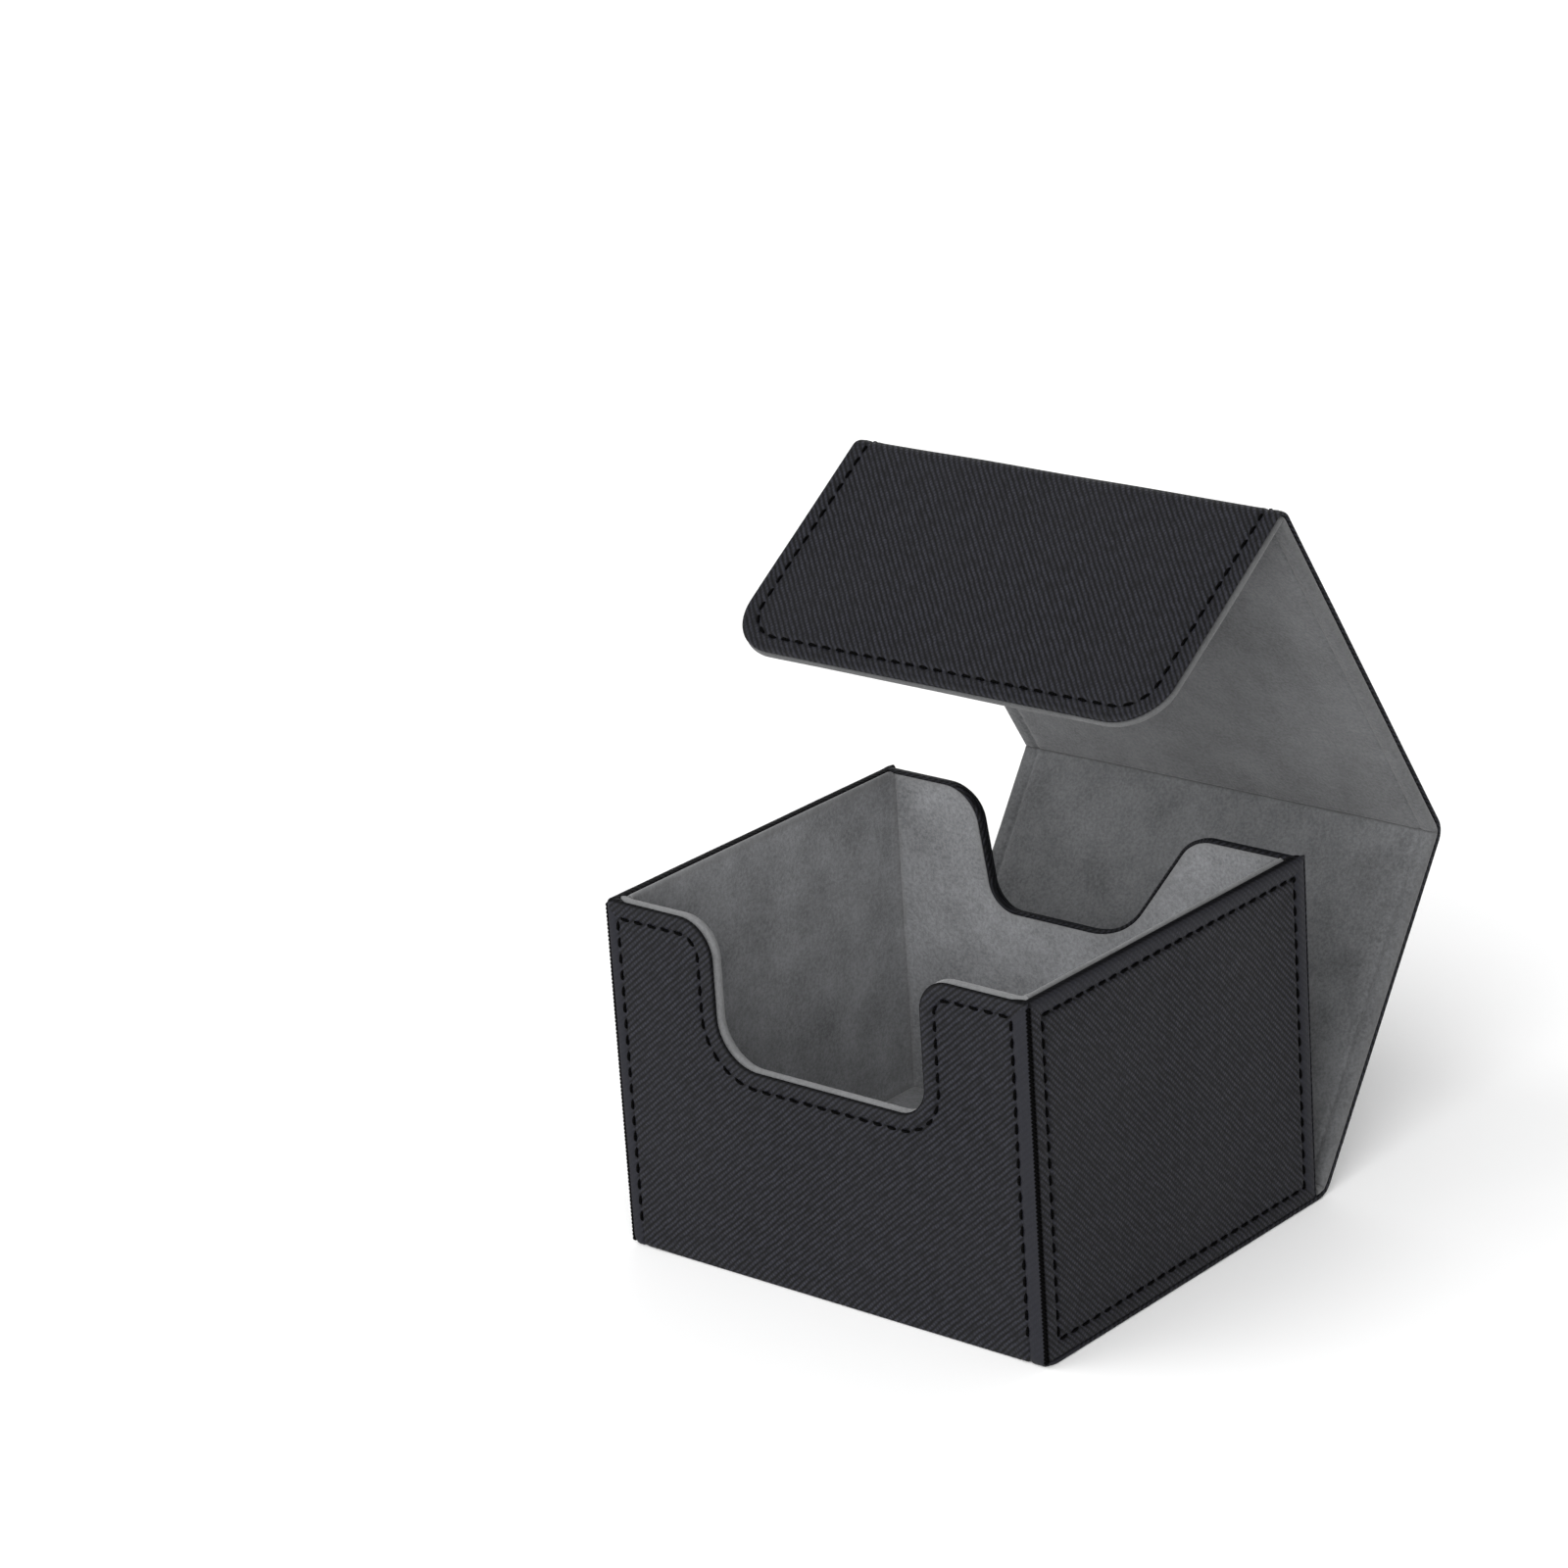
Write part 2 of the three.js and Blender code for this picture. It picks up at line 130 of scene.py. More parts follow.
def wrap_line():
    """The wrap's stretches: start distance, start point, start angle, curvature."""
    stretches = []
    at, s, angle = np.array([-HALF_DEPTH + MID, HEIGHT]), 0.0, -math.pi / 2
    middle = [
        (HEIGHT - MID - EDGE_ROUND, 0, 0),
        (0, EDGE_ROUND, math.pi / 2),
        (REAR_PIVOT[0] - FOLD_REACH + HALF_DEPTH - MID - EDGE_ROUND, 0, 0),
        (0, FOLD_REACH / math.tan(REAR_TURN / 2), REAR_TURN),
        (REAR_LENGTH - 2 * FOLD_REACH, 0, 0),
        (0, FOLD_REACH / math.tan(TOP_TURN / 2), TOP_TURN),
        (TOP_LENGTH - 2 * FOLD_REACH, 0, 0),
        (0, FOLD_REACH / math.tan(FLAP_TURN / 2), FLAP_TURN),
        (FLAP_LENGTH - FOLD_REACH, 0, 0),
    ]
    for length, radius, turn in middle:
        bend = 1 / radius if radius else 0.0
        stretches.append((s, at[0], at[1], angle, bend))
        if radius:
            end = angle + turn
            chord = [math.sin(end) - math.sin(angle), math.cos(angle) - math.cos(end)]
            at = at + radius * np.array(chord)
            s, angle = s + radius * turn, end
        else:
            at = at + length * np.array([math.cos(angle), math.sin(angle)])
            s = s + length
    return np.array(stretches), s


WRAP, WRAP_END = wrap_line()
FRONT_BEND, BASE, REAR_FOLD, REAR, TOP_FOLD, TOP, FLAP_FOLD, FLAP = WRAP[1:, 0]
JOIN = BASE - EDGE_ROUND - MID + FRONT_TURN_UNDER


def wrap_at(s):
    """Point and outward normal of the wrap line at a distance along it."""
    i = np.clip(np.searchsorted(WRAP[:, 0], s, side="right") - 1, 0, len(WRAP) - 1)
    start, y, z, angle, bend = WRAP[i].T if np.ndim(s) == 1 else np.moveaxis(WRAP[i], -1, 0)
    d = s - start
    end = angle + bend * d
    r = 1 / np.where(bend == 0, 1, bend)
    y = y + np.where(bend == 0, d * np.cos(angle), r * (np.sin(end) - np.sin(angle)))
    z = z + np.where(bend == 0, d * np.sin(angle), r * (np.cos(angle) - np.cos(end)))
    return y, z, np.sin(end), -np.cos(end)


def wrapped(level, facing=1):
    """Sheet coordinates (x, distance along the wrap, height) at a level from its middle line."""
    def place(u, s, h):
        y, z, ny, nz = wrap_at(s)
        off = level + facing * h
        return np.stack([u, y + off * ny, z + off * nz], -1)
    return place


# ---- outlines and edge profiles ----

class Outline:
    """A sheet's outline: corners (u, v, radius) in order, and the kind of the edge after each.

    An edge of kind "cut" is a straight end where the next sheet carries on: no loop runs along it.
    """

    def __init__(self, corners, kinds, step=0.5):
        cut = kinds.index("cut") if "cut" in kinds else None
        if cut is not None:
            corners = corners[cut + 1:] + corners[:cut + 1]
            kinds = kinds[cut + 1:] + kinds[:cut + 1]
        self.open = cut is not None
        self.kinds = kinds
        self.p = np.array([c[:2] for c in corners], float)
        self.r = np.array([c[2] for c in corners], float)
        e = np.roll(self.p, -1, 0) - self.p
        self.length = np.hypot(*e.T)
        self.e = e / self.length[:, None]
        x, y = self.p.T
        area = np.sum(x * np.roll(y, -1) - np.roll(x, -1) * y)
        self.way = 1 if area > 0 else -1
        self.n = self.way * np.stack([-self.e[:, 1], self.e[:, 0]], 1)
        before = np.roll(self.e, 1, 0)
        self.turn = np.arctan2(before[:, 0] * self.e[:, 1] - before[:, 1] * self.e[:, 0],
                               np.sum(before * self.e, 1))
        self.arc = [max(4, math.ceil(abs(t) * max(r, 1.5) / step))
                    for t, r in zip(self.turn, self.r)]
        reach = self.r * np.abs(np.tan(self.turn / 2))
        if self.open:
            reach[0] = reach[-1] = 0
        spare = self.length - reach - np.roll(reach, -1)
        self.straight = [max(1, round(s / step)) for s in spare]
        self.weights = self._weights()

    def _weights(self):
        """For each kind of edge, how much each point of a loop belongs to it."""
        names = sorted(set(self.kinds) - {"cut"})
        rows = []
        for i, kind in enumerate(self.kinds):
            last = self.kinds[i - 1]
            if self.open and i in (0, len(self.kinds) - 1):
                one = kind if i == 0 else last
                rows.append({one: 1.0})
            else:
                for t in np.linspace(0, 1, self.arc[i] + 1):
                    row = {last: 1 - t}
                    row[kind] = row.get(kind, 0) + t
                    rows.append(row)
            if not (self.open and i == len(self.kinds) - 1):
                rows += [{kind: 1.0}] * (self.straight[i] - 1)
        return {name: np.array([row.get(name, 0.0) for row in rows]) for name in names}

    def loop(self, inset):
        """The outline moved inwards by an inset for each kind of edge."""
        amount = [0.0 if kind == "cut" else inset[kind] for kind in self.kinds]
        corner, radius = [], []
        for i in range(len(self.p)):
            a, b = amount[i - 1], amount[i]
            m = np.array([self.n[i - 1], self.n[i]])
            if abs(np.linalg.det(m)) < 1e-6:
                move = self.n[i] * (a + b) / 2
            else:
                move = np.linalg.solve(m, [a, b])
            corner.append(self.p[i] + move)
            outwards = 1 if self.turn[i] * self.way > 0 else -1
            radius.append(max(self.r[i] - outwards * (a + b) / 2, 0.04))
        ends = []
        points = []
        for i, p in enumerate(corner):
            if self.open and i in (0, len(corner) - 1):
                ends.append([p])
                continue
            r, turn = radius[i], self.turn[i]
            reach = r * abs(math.tan(turn / 2))
            first = p - self.e[i - 1] * reach
            side = 1 if turn > 0 else -1
            normal = side * np.array([-self.e[i - 1][1], self.e[i - 1][0]])
            centre = first + normal * r
            spoke = first - centre
            arc = []
            for t in np.linspace(0, turn, self.arc[i] + 1):
                c, s = math.cos(t), math.sin(t)
                spun = [c * spoke[0] - s * spoke[1], s * spoke[0] + c * spoke[1]]
                arc.append(centre + np.array(spun))
            ends.append(arc)
        for i, arc in enumerate(ends):
            points += arc
            if self.open and i == len(ends) - 1:
                break
            a, b = arc[-1], ends[(i + 1) % len(ends)][0]
            k = self.straight[i]
            points += [a + (b - a) * j / k for j in range(1, k)]
        return np.array(points)


def profile(points):
    """Rows of inset, height and unrolled inset for a sheet's loops, from its middle to its back."""
    points = np.array(points, float)
    steps = np.hypot(*np.diff(points, axis=0).T)
    unrolled = points[0, 0] - np.concatenate([[0], np.cumsum(steps)])
    return np.column_stack([points, unrolled])


# Insets of the loops on the flat part of a sheet, for each group of edges.
SEAM_FLATS = (6, 5, 4.5, 4.15, 3.85, 3.6, 3.35, 3.1, 2.8, 2.4, 1.9, 1.4)
FRONT_RIGHT_FLATS = (6, 5.2, 4.8, 4.5, 4.2, 3.9, 3.6, 3.3, 2.9, 2.3, 1.7, 1.0)
FRONT_LEFT_FLATS = (6, 4.8, 3.6, 3.1, 2.8, 2.5, 2.2, 1.9, 1.6, 1.3, 1.0, 0.7)
LINING_FLATS = (5, 3.6, 2.6, 1.9)
LIP_FLATS = (5, 4.3, 3.95, 3.6, 3.25, 2.9, 2.3, 1.7)
ROUND_STEPS = 9


def turned(reach, depth, tuck, thickness, flats):
    """An edge turned over a board: reach is how deep the rounding goes into the sheet."""
    last = math.pi - math.asin(1 - tuck / reach) if tuck < reach else math.pi
    angles = np.linspace(0, last, ROUND_STEPS)
    nose = [(reach * (1 - math.sin(a)), -depth / 2 * (1 - math.cos(a))) for a in angles]
    return profile([(f, 0) for f in flats] + nose
                   + [(tuck, -depth), (tuck + 0.02, -thickness), (flats[0], -thickness)])


def rounded_corner(radius, depth, flats):
    """An edge that rounds a corner of the box, and ends behind it."""
    angles = np.linspace(0, math.acos(1 - depth / radius), ROUND_STEPS)
    nose = [(radius * (1 - math.sin(a)), -radius * (1 - math.cos(a))) for a in angles]
    return profile([(f, 0) for f in flats] + nose
                   + [(nose[-1][0] + 0.3, -depth), (0.9, -SKIN - 0.04), (flats[0], -SKIN)])


def over_the_top(shoulder, drop, flats):
    """The back skin's edge: a round shoulder, the rim, and a flange down inside."""
    outer = [(drop * (1 - math.sin(a)), -shoulder * (1 - math.cos(a)))
             for a in np.linspace(0, math.pi / 2, 5)]
    inner = [(0.05, -WALL + 0.25), (0.42, -WALL), (BACK_FLANGE - 0.12, -WALL)]
    under = LINING - WALL
    back = [(BACK_FLANGE, under - 0.45), (TUCK, under), (TUCK + 0.02, -SKIN), (flats[0], -SKIN)]
    return profile([(f, 0) for f in flats] + outer + inner + back)


LEATHER_EDGES = {
    "seam": turned(0.8, SKIN, 0.4, SKIN, SEAM_FLATS),
    "plain": turned(0.6, SKIN, 0.4, SKIN, SEAM_FLATS),
    "front_right": turned(0.5, SKIN, 0.4, SKIN, FRONT_RIGHT_FLATS),
    "front_left": turned(0.5, SKIN, 0.4, SKIN, FRONT_LEFT_FLATS),
    "back_corner": rounded_corner(1.35, 1.0, SEAM_FLATS),
    "folded": turned(1.0, SIDE_TURN, TUCK, SKIN, SEAM_FLATS),
    "turned": over_the_top(3.1, 2.3, SEAM_FLATS),
    "flap": profile([(f, 0) for f in SEAM_FLATS[:-3]] + [(1.7, 0), (1.35, -0.15), (1.05, 0)]
                    + [tuple(row) for row in turned(0.8, SKIN, 0.4, SKIN, SEAM_FLATS)[12:, :2]]),
}
LEATHER_EDGES["rear"] = LEATHER_EDGES["seam"]
# How far in from its edge a seam runs.
SEAM_INSET = {
    "seam": 3.6, "folded": 3.6, "rear": 3.6, "flap": 3.6, "front_right": 3.9, "front_left": 2.5,
}
# How dark a turned edge is painted, partly edge paint and partly painted shade on rims that face
# down or inwards, and how much the ribs fade between a seam and its edge.
RIM_PAINT_AND_SHADE = {"folded": 0.8, "turned": 0.3}
SMOOTH_HEM = {"front_right": 1, "front_left": 1, "folded": 0.7, "rear": 0.9}

LINING_EDGES = {
    "rim": turned(1.25, 2.58, TUCK, LINING, LINING_FLATS),
    "side_rim": turned(0.95, WALL - SIDE_TURN, TUCK, LINING, LINING_FLATS),
    "side": turned(0.1, LINING, 0.08, LINING, LINING_FLATS),
}
LINING_EDGES["tucked"] = LINING_EDGES["side"] + [BACK_FLANGE, 0, BACK_FLANGE]
COVER_EDGES = {
    "lip": turned(0.95, 1.68, TUCK, COVER_LINING, LIP_FLATS),
}


# ---- meshes ----

def rib_map(u, v, degrees):
    """Texture coordinates in metres: across the ribs, and along them."""
    c, s = math.cos(math.radians(degrees)), math.sin(math.radians(degrees))
    return np.stack([u * s - v * c, u * c + v * s], -1) * MM


def add_object(name, data):
    """A new object in the scene."""
    obj = bpy.data.objects.new(name, data)
    bpy.context.scene.collection.objects.link(obj)
    return obj


def make_object(name, points, faces, uv, material, **attributes):
    """One closed piece from points in millimetres, with its texture map and point attributes."""
    mesh = bpy.data.meshes.new(name)
    mesh.from_pydata((np.asarray(points) * MM).tolist(), [], faces)
    layer = mesh.uv_layers.new(name="sheet")
    corner = np.zeros(len(mesh.loops), np.int32)
    mesh.loops.foreach_get("vertex_index", corner)
    layer.data.foreach_set("uv", np.asarray(uv)[corner].astype(np.float32).ravel())
    for key, value in attributes.items():
        attribute = mesh.attributes.new(key, "FLOAT", "POINT")
        attribute.data.foreach_set("value", np.asarray(value, np.float32))
    bm = bmesh.new()
    bm.from_mesh(mesh)
    big = [f for f in bm.faces if len(f.verts) > 4]
    bmesh.ops.triangulate(bm, faces=big, ngon_method="EAR_CLIP")
    bmesh.ops.recalc_face_normals(bm, faces=bm.faces)
    for f in bm.faces:
        f.smooth = True
    for e in bm.edges:
        if len(e.link_faces) == 2 and e.calc_face_angle(0) > math.radians(50):
            e.smooth = False
    bm.to_mesh(mesh)
    bm.free()
    mesh.materials.append(material)
    return add_object(name, mesh)


def rows_of_faces(first, rows, width, used):
    """Four-sided faces between rows of points, over the used part of each row's width."""
    faces = []
    for i in range(rows - 1):
        a, b = first + i * width, first + (i + 1) * width
        for j in range(used):
            k = (j + 1) % width
            faces.append((a + j, a + k, b + k, b + j))
    return faces


def inside(points, polygon):
    """Which points lie in a polygon, and how far they are from its outline."""
    x, y = points.T
    a, b = polygon, np.roll(polygon, -1, 0)
    crossing = np.zeros(len(points), bool)
    nearest = np.full(len(points), 1e9)
    for (ax, ay), (bx, by) in zip(a, b):
        if ay != by:
            crossing ^= ((ay > y) != (by > y)) & (x < (bx - ax) * (y - ay) / (by - ay) + ax)
        d = np.array([bx - ax, by - ay])
        t = np.clip(((x - ax) * d[0] + (y - ay) * d[1]) / max(d @ d, 1e-12), 0, 1)
        nearest = np.minimum(nearest, np.hypot(x - ax - t * d[0], y - ay - t * d[1]))
    return crossing, nearest


def fill(polygon, grid):
    """Triangles over a polygon, with a grid of points inside it."""
    low, high = polygon.min(0), polygon.max(0)
    columns = np.arange(low[0] + grid / 2, high[0], grid)
    rows = np.arange(low[1] + grid / 2, high[1], grid)
    gu, gv = np.meshgrid(columns, rows)
    gu = gu + (np.arange(gu.shape[0]) % 2)[:, None] * grid / 2
    points = np.column_stack([gu.ravel(), gv.ravel()])
    within, distance = inside(points, polygon)
    points = points[within & (distance > grid * 0.6)]
    every = np.concatenate([polygon, points])
    n = len(polygon)
    ring = [(i, (i + 1) % n) for i in range(n)]
    out = delaunay_2d_cdt([Vector(p) for p in every], ring, [], 1, 1e-7)
    places, faces, source = out[0], out[2], out[3]
    index = [s[0] for s in source]
    if len(places) != len(every):
        raise RuntimeError("a sheet's outline crosses itself")
    return points, [[index[i] for i in f] for f in faces]


def hump(distance, width):
    """A bell curve, 1 in its middle."""
    return np.exp(-(distance / width) ** 2)


def seam_shape(inset, seam):
    """Height of a stitched edge at an inset: a groove under the thread, a soft welt beside it."""
    groove = -0.30 * hump(inset - seam, 0.42)
    welt = 0.09 * hump(inset - seam + 1.75, 0.8)
    inner = 0.05 * hump(inset - seam - 1.2, 0.6)
    return groove + welt + inner


def stitch_pull(inset, seam, turns):
    """How much deeper a seam's groove is under its stitches, most at the middle of each."""
    return STITCH_PULL * hump(inset - seam, 0.55) * (0.5 - 0.5 * np.cos(2 * np.pi * turns))


class Seam:
    """The line of a seam on a panel, and the stitches along it."""

    def __init__(self, line, closed, phase=0.0):
        self.count = len(line)
        self.line = np.concatenate([line, line[:1]]) if closed else line
        self.at = np.concatenate([[0], np.cumsum(np.hypot(*np.diff(self.line, axis=0).T))])
        turns = round(self.at[-1] / STITCH_PITCH + phase * 2) - phase * 2
        self.pitch = self.at[-1] / turns
        self.offset = phase

    def phase(self):
        """Turns of the stitch pattern at each point of the line."""
        return (self.at / self.pitch + self.offset)[:self.count]

    def stitches(self):
        """Centre lines of the stitches, as arrays of (u, v)."""
        found = []
        for n in range(int(self.at[-1] / self.pitch) + 2):
            middle = (n + 0.5 - self.offset) * self.pitch
            if 0 < middle < self.at[-1]:
                t = np.linspace(-1, 1, 7)
                s = middle + t * STITCH_LENGTH / 2
                line = np.stack([np.interp(s, self.at, axis) for axis in self.line.T], 1)
                along = (line[-1] - line[0]) / np.hypot(*(line[-1] - line[0]))
                found.append(line + t[:, None] * STITCH_SLANT * np.array([-along[1], along[0]]))
        return found


def rim_paint_and_shade(kind, inset, height):
    """How dark an edge is painted: at the nose of a seamed edge, or beyond the shoulder of a turned
    one. Partly edge paint, partly painted shade where these rims face down or inwards.
    """
    if kind == "seam":
        return 0.75 * smooth((0.6 - inset) / 0.4)
    return RIM_PAINT_AND_SHADE.get(kind, 0) * smooth((-0.2 - height) / 0.6)


def sheet(name, outline, edges, place, material, thickness, degrees, wave=None, seam=None,
          bend=None):
    """A closed sheet of cloth: loops round its edge, a filled middle and a flat back."""
    rows = {kind: edges[kind] for kind in outline.weights}
    count = len(next(iter(rows.values())))
    loops, heights, maps, closeness, hems, rims = [], [], [], [], [], []
    phase = seam.phase() if seam is not None else None
    for k in range(count):
        inset = {kind: row[k, 0] for kind, row in rows.items()}
        loops.append(outline.loop(inset))
        maps.append(outline.loop({kind: row[k, 2] for kind, row in rows.items()}))
        height = sum(w * rows[kind][k, 1] for kind, w in outline.weights.items())
        if seam is not None and k < len(SEAM_FLATS) + 1:
            for kind, w in outline.weights.items():
                if kind in SEAM_INSET:
                    at = (rows[kind][k, 0], SEAM_INSET[kind])
                    height = height + w * seam_shape(*at)
                    height = height - w * stitch_pull(*at, phase)
        heights.append(height)
        hem, rim = np.zeros(len(height)), np.zeros(len(height))
        for kind, w in outline.weights.items():
            outside_seam = smooth((SEAM_INSET.get(kind, 0) - inset[kind]) / 0.5)
            hem = hem + w * SMOOTH_HEM.get(kind, 0) * outside_seam
            rim = rim + w * rim_paint_and_shade(kind, *rows[kind][k, :2])
        hems.append(hem)
        rims.append(rim)
        unrolled = next(iter(rows.values()))[k, 2]
        closeness.append(np.full(len(height), np.clip(1 - unrolled / EDGE_TONE_BAND, 0, 1)))
    n = len(loops[0])
    ring = loops[0]
    end_points = np.zeros((0, 2))
    if outline.open:
        a, b = ring[-1], ring[0]
        k = max(2, round(np.hypot(*(b - a)) / 1.5))
        end_points = np.array([a + (b - a) * j / k for j in range(1, k)])
        ring = np.concatenate([ring, end_points])
    inner, triangles = fill(ring, FILL_GRID)
    extra = np.concatenate([end_points, inner])
    m = len(extra)
    u, v = np.concatenate(loops + [extra, extra]).T
    h = np.concatenate(heights + [np.zeros(m), np.full(m, -thickness)])
    if wave is not None:
        top = np.ones(len(u))
        for k in range(count):
            top[k * n:(k + 1) * n] = np.clip((count - 4 - k) / 6, 0, 1)
        top[count * n + m:] = 0
        h = h + wave(u, v) * top
    if bend is not None:
        every = {kind: np.concatenate([w] * count + [np.zeros(2 * m)])
                 for kind, w in outline.weights.items()}
        u, h = bend(u, v, h, every)
    faces = rows_of_faces(0, count, n, n - 1 if outline.open else n)
    front_extra, back_extra, back = count * n, count * n + m, (count - 1) * n
    for f in triangles:
        faces.append([i if i < n else front_extra + i - n for i in f])
        faces.append([back + i if i < n else back_extra + i - n for i in f][::-1])
    if outline.open:
        e = len(end_points)
        section = [k * n for k in range(count)]
        section += [back_extra + e - 1 - j for j in range(e)]
        section += [k * n + n - 1 for k in reversed(range(count))]
        section += [front_extra + j for j in range(e)]
        faces.append(section)
    mu, mv = np.concatenate(maps + [extra, extra]).T
    close, hem, rim = (np.concatenate(tones + [np.zeros(2 * m)])
                       for tones in (closeness, hems, rims))
    return make_object(name, place(u, v, h), faces, rib_map(mu, mv, degrees), material,
                       edge=close, hem=hem, rim=rim)


def strip(name, start, end, edge, place, material, thickness, degrees, step=0.5, wave=None,
          phase=None, depth=1.0, crease=None):
    """A closed sheet with two straight sides and two cut ends: one cross section, carried along.

    depth scales the seams' groove, and crease gives the painted shade in the folds: how dark the
    sheet is at a distance along it.
    """
    half = HALF_WIDTH
    stations = np.linspace(start, end, max(3, round((end - start) / step)) + 1)
    inset, height, unrolled = edge.T
    reach = half - inset[0]
    flats = np.linspace(-reach, reach, max(2, round(2 * reach / 2.5)) + 1)[1:-1]
    row = np.arange(len(inset))
    groove = pull = np.zeros(len(inset))
    if phase is not None:
        top = row < len(inset) - ROUND_STEPS - 2
        seam = SEAM_INSET["seam"]
        groove = np.where(top, depth * seam_shape(inset, seam), 0)
        pull = np.where(top, depth * STITCH_PULL * hump(inset - seam, 0.55), 0)

    def section(side, back=0.0, front=0.0):
        """Values round the section: right side, back, left side, front."""
        flat_part = np.zeros(len(flats))
        return np.concatenate([side, flat_part + back, side[::-1], flat_part + front])

    u = np.concatenate([half - inset, flats[::-1], -(half - inset[::-1]), flats])
    mu = np.concatenate([half - unrolled, flats[::-1], -(half - unrolled[::-1]), flats])
    base = section(height + groove, back=-thickness)
    pulls = section(pull)
    close = section(np.clip(1 - unrolled / EDGE_TONE_BAND, 0, 1))
    front = section(np.clip((len(inset) - 4 - row) / 6, 0, 1), front=1.0)
    width = len(u)
    uu = np.tile(u, (len(stations), 1))
    ss = np.repeat(stations[:, None], width, 1)
    hh = np.tile(base, (len(stations), 1))
    if phase is not None:
        hh = hh - pulls * (0.5 - 0.5 * np.cos(2 * np.pi * phase(ss)))
    if wave is not None:
        hh = hh + wave(uu, ss) * front
    faces = rows_of_faces(0, len(stations), width, width)
    faces.append(list(range(width)))
    faces.append(list(range((len(stations) - 1) * width, len(stations) * width))[::-1])
    uv = rib_map(np.tile(mu, (len(stations), 1)).ravel(), ss.ravel(), degrees)
    points = place(uu.ravel(), ss.ravel(), hh.ravel())
    # Painted shade in the folds, read from the crease function.
    dark = np.zeros(uu.size) if crease is None else crease(ss.ravel())
    return make_object(name, points, faces, uv, material,
                       edge=np.tile(close, len(stations)), crease=dark)


def stitches(name, lines, place, material, radius=THREAD_RADIUS, crown=-0.06, dip=0.5):
    """Separate closed stitches along centre lines on a sheet, each dipping in at its ends."""
    sides = 8
    points, faces, uv = [], [], []
    for line in lines:
        n = len(line)
        t = np.linspace(-1, 1, n)
        along = np.gradient(line, axis=0)
        along /= np.maximum(np.hypot(*along.T), 1e-9)[:, None]
        across = np.column_stack([-along[:, 1], along[:, 0]])
        rise = crown - dip * np.abs(t) ** 3.5
        size = radius * np.sqrt(np.clip(1.02 - 0.35 * t ** 4, 0, 1))
        first = len(points)
        travelled = np.concatenate([[0], np.cumsum(np.hypot(*np.diff(line, axis=0).T))])
        for i in range(n):
            for k in range(sides):
                a = 2 * math.pi * k / sides
                q = line[i] + across[i] * math.cos(a) * size[i]
                points.append((q[0], q[1], rise[i] + math.sin(a) * size[i]))
                uv.append((travelled[i] * MM, k / sides * MM))
        faces += rows_of_faces(first, n, sides, sides)
        for end, sign in ((0, -1), (n - 1, 1)):
            tip = line[end] + along[end] * sign * size[end] * 0.5
            points.append((tip[0], tip[1], rise[end] - 0.05))
            uv.append((travelled[end] * MM, 0))
            a, tip_index = first + end * sides, len(points) - 1
            for k in range(sides):
                faces.append((a + k, a + (k + 1) % sides, tip_index))
    p = np.array(points)
    return make_object(name, place(p[:, 0], p[:, 1], p[:, 2]), faces, np.array(uv), material)


# ---- materials ----

TURN = 2 * math.pi * 1000       # radians to a metre, for one turn to a millimetre


class Nodes:
    """A material's node tree, built by short calls."""

    def __init__(self, name):
        self.material = bpy.data.materials.new(name)
        self.material.use_nodes = True
        self.tree = self.material.node_tree
        self.tree.nodes.clear()
        self.shader = self.add("ShaderNodeBsdfPrincipled")
        out = self.add("ShaderNodeOutputMaterial")
        self.link(self.shader.outputs[0], out.inputs["Surface"])

    def add(self, kind, **values):
        node = self.tree.nodes.new(kind)
        for key, value in values.items():
            setattr(node, key, value)
        return node

    def link(self, a, b):
        self.tree.links.new(a, b)

    def feed(self, socket, value):
        if isinstance(value, bpy.types.NodeSocket):
            self.link(value, socket)
        else:
            socket.default_value = value

    def math(self, operation, a, b=0.0, c=0.0):
        node = self.add("ShaderNodeMath", operation=operation)
        for socket, value in zip(node.inputs, (a, b, c)):
            self.feed(socket, value)
        return node.outputs[0]

    def scaled(self, vector, scale):
        node = self.add("ShaderNodeMapping")
        self.link(vector, node.inputs["Vector"])
        node.inputs["Scale"].default_value = scale
        return node.outputs[0]

    def noise(self, vector, scale, detail=2.0, roughness=0.5):
        node = self.add("ShaderNodeTexNoise")
        self.link(vector, node.inputs["Vector"])
        node.inputs["Scale"].default_value = scale
        node.inputs["Detail"].default_value = detail
        node.inputs["Roughness"].default_value = roughness
        return node.outputs[0]

    def spread(self, value, low, high, out_low=0.0, out_high=1.0):
        node = self.add("ShaderNodeMapRange")
        for socket, v in zip(node.inputs, (value, low, high, out_low, out_high)):
            self.feed(socket, v)
        return node.outputs[0]

    def mix(self, factor, a, b):
        node = self.add("ShaderNodeMix", data_type="RGBA")
        self.feed(node.inputs["Factor"], factor)
        self.feed(node.inputs["A"], a)
        self.feed(node.inputs["B"], b)
        return node.outputs["Result"]

    def times(self, a, b):
        return self.math("MULTIPLY", a, b)

    def times_plus(self, a, b, c):
        return self.math("MULTIPLY_ADD", a, b, c)

    def sine(self, angle):
        """A sine moved to go from 0 to 1."""
        return self.times_plus(self.math("SINE", angle), 0.5, 0.5)

    def set(self, name, value):
        """Give the shader a fixed value or a socket's."""
        self.feed(self.shader.inputs[name], value)

    def bump(self, height, distance):
        node = self.add("ShaderNodeBump")
        self.link(height, node.inputs["Height"])
        node.inputs["Distance"].default_value = distance
        self.set("Normal", node.outputs[0])

    def where(self):
        return self.add("ShaderNodeTexCoord").outputs["Object"]

    def sheet_map(self):
        return self.add("ShaderNodeUVMap", uv_map="sheet").outputs[0]

    def attribute(self, name):
        return self.add("ShaderNodeAttribute", attribute_name=name).outputs["Fac"]


def grey(value, tint=(1, 1, 1)):
    """A colour of one brightness, tinted."""
    return (value * tint[0], value * tint[1], value * tint[2], 1)


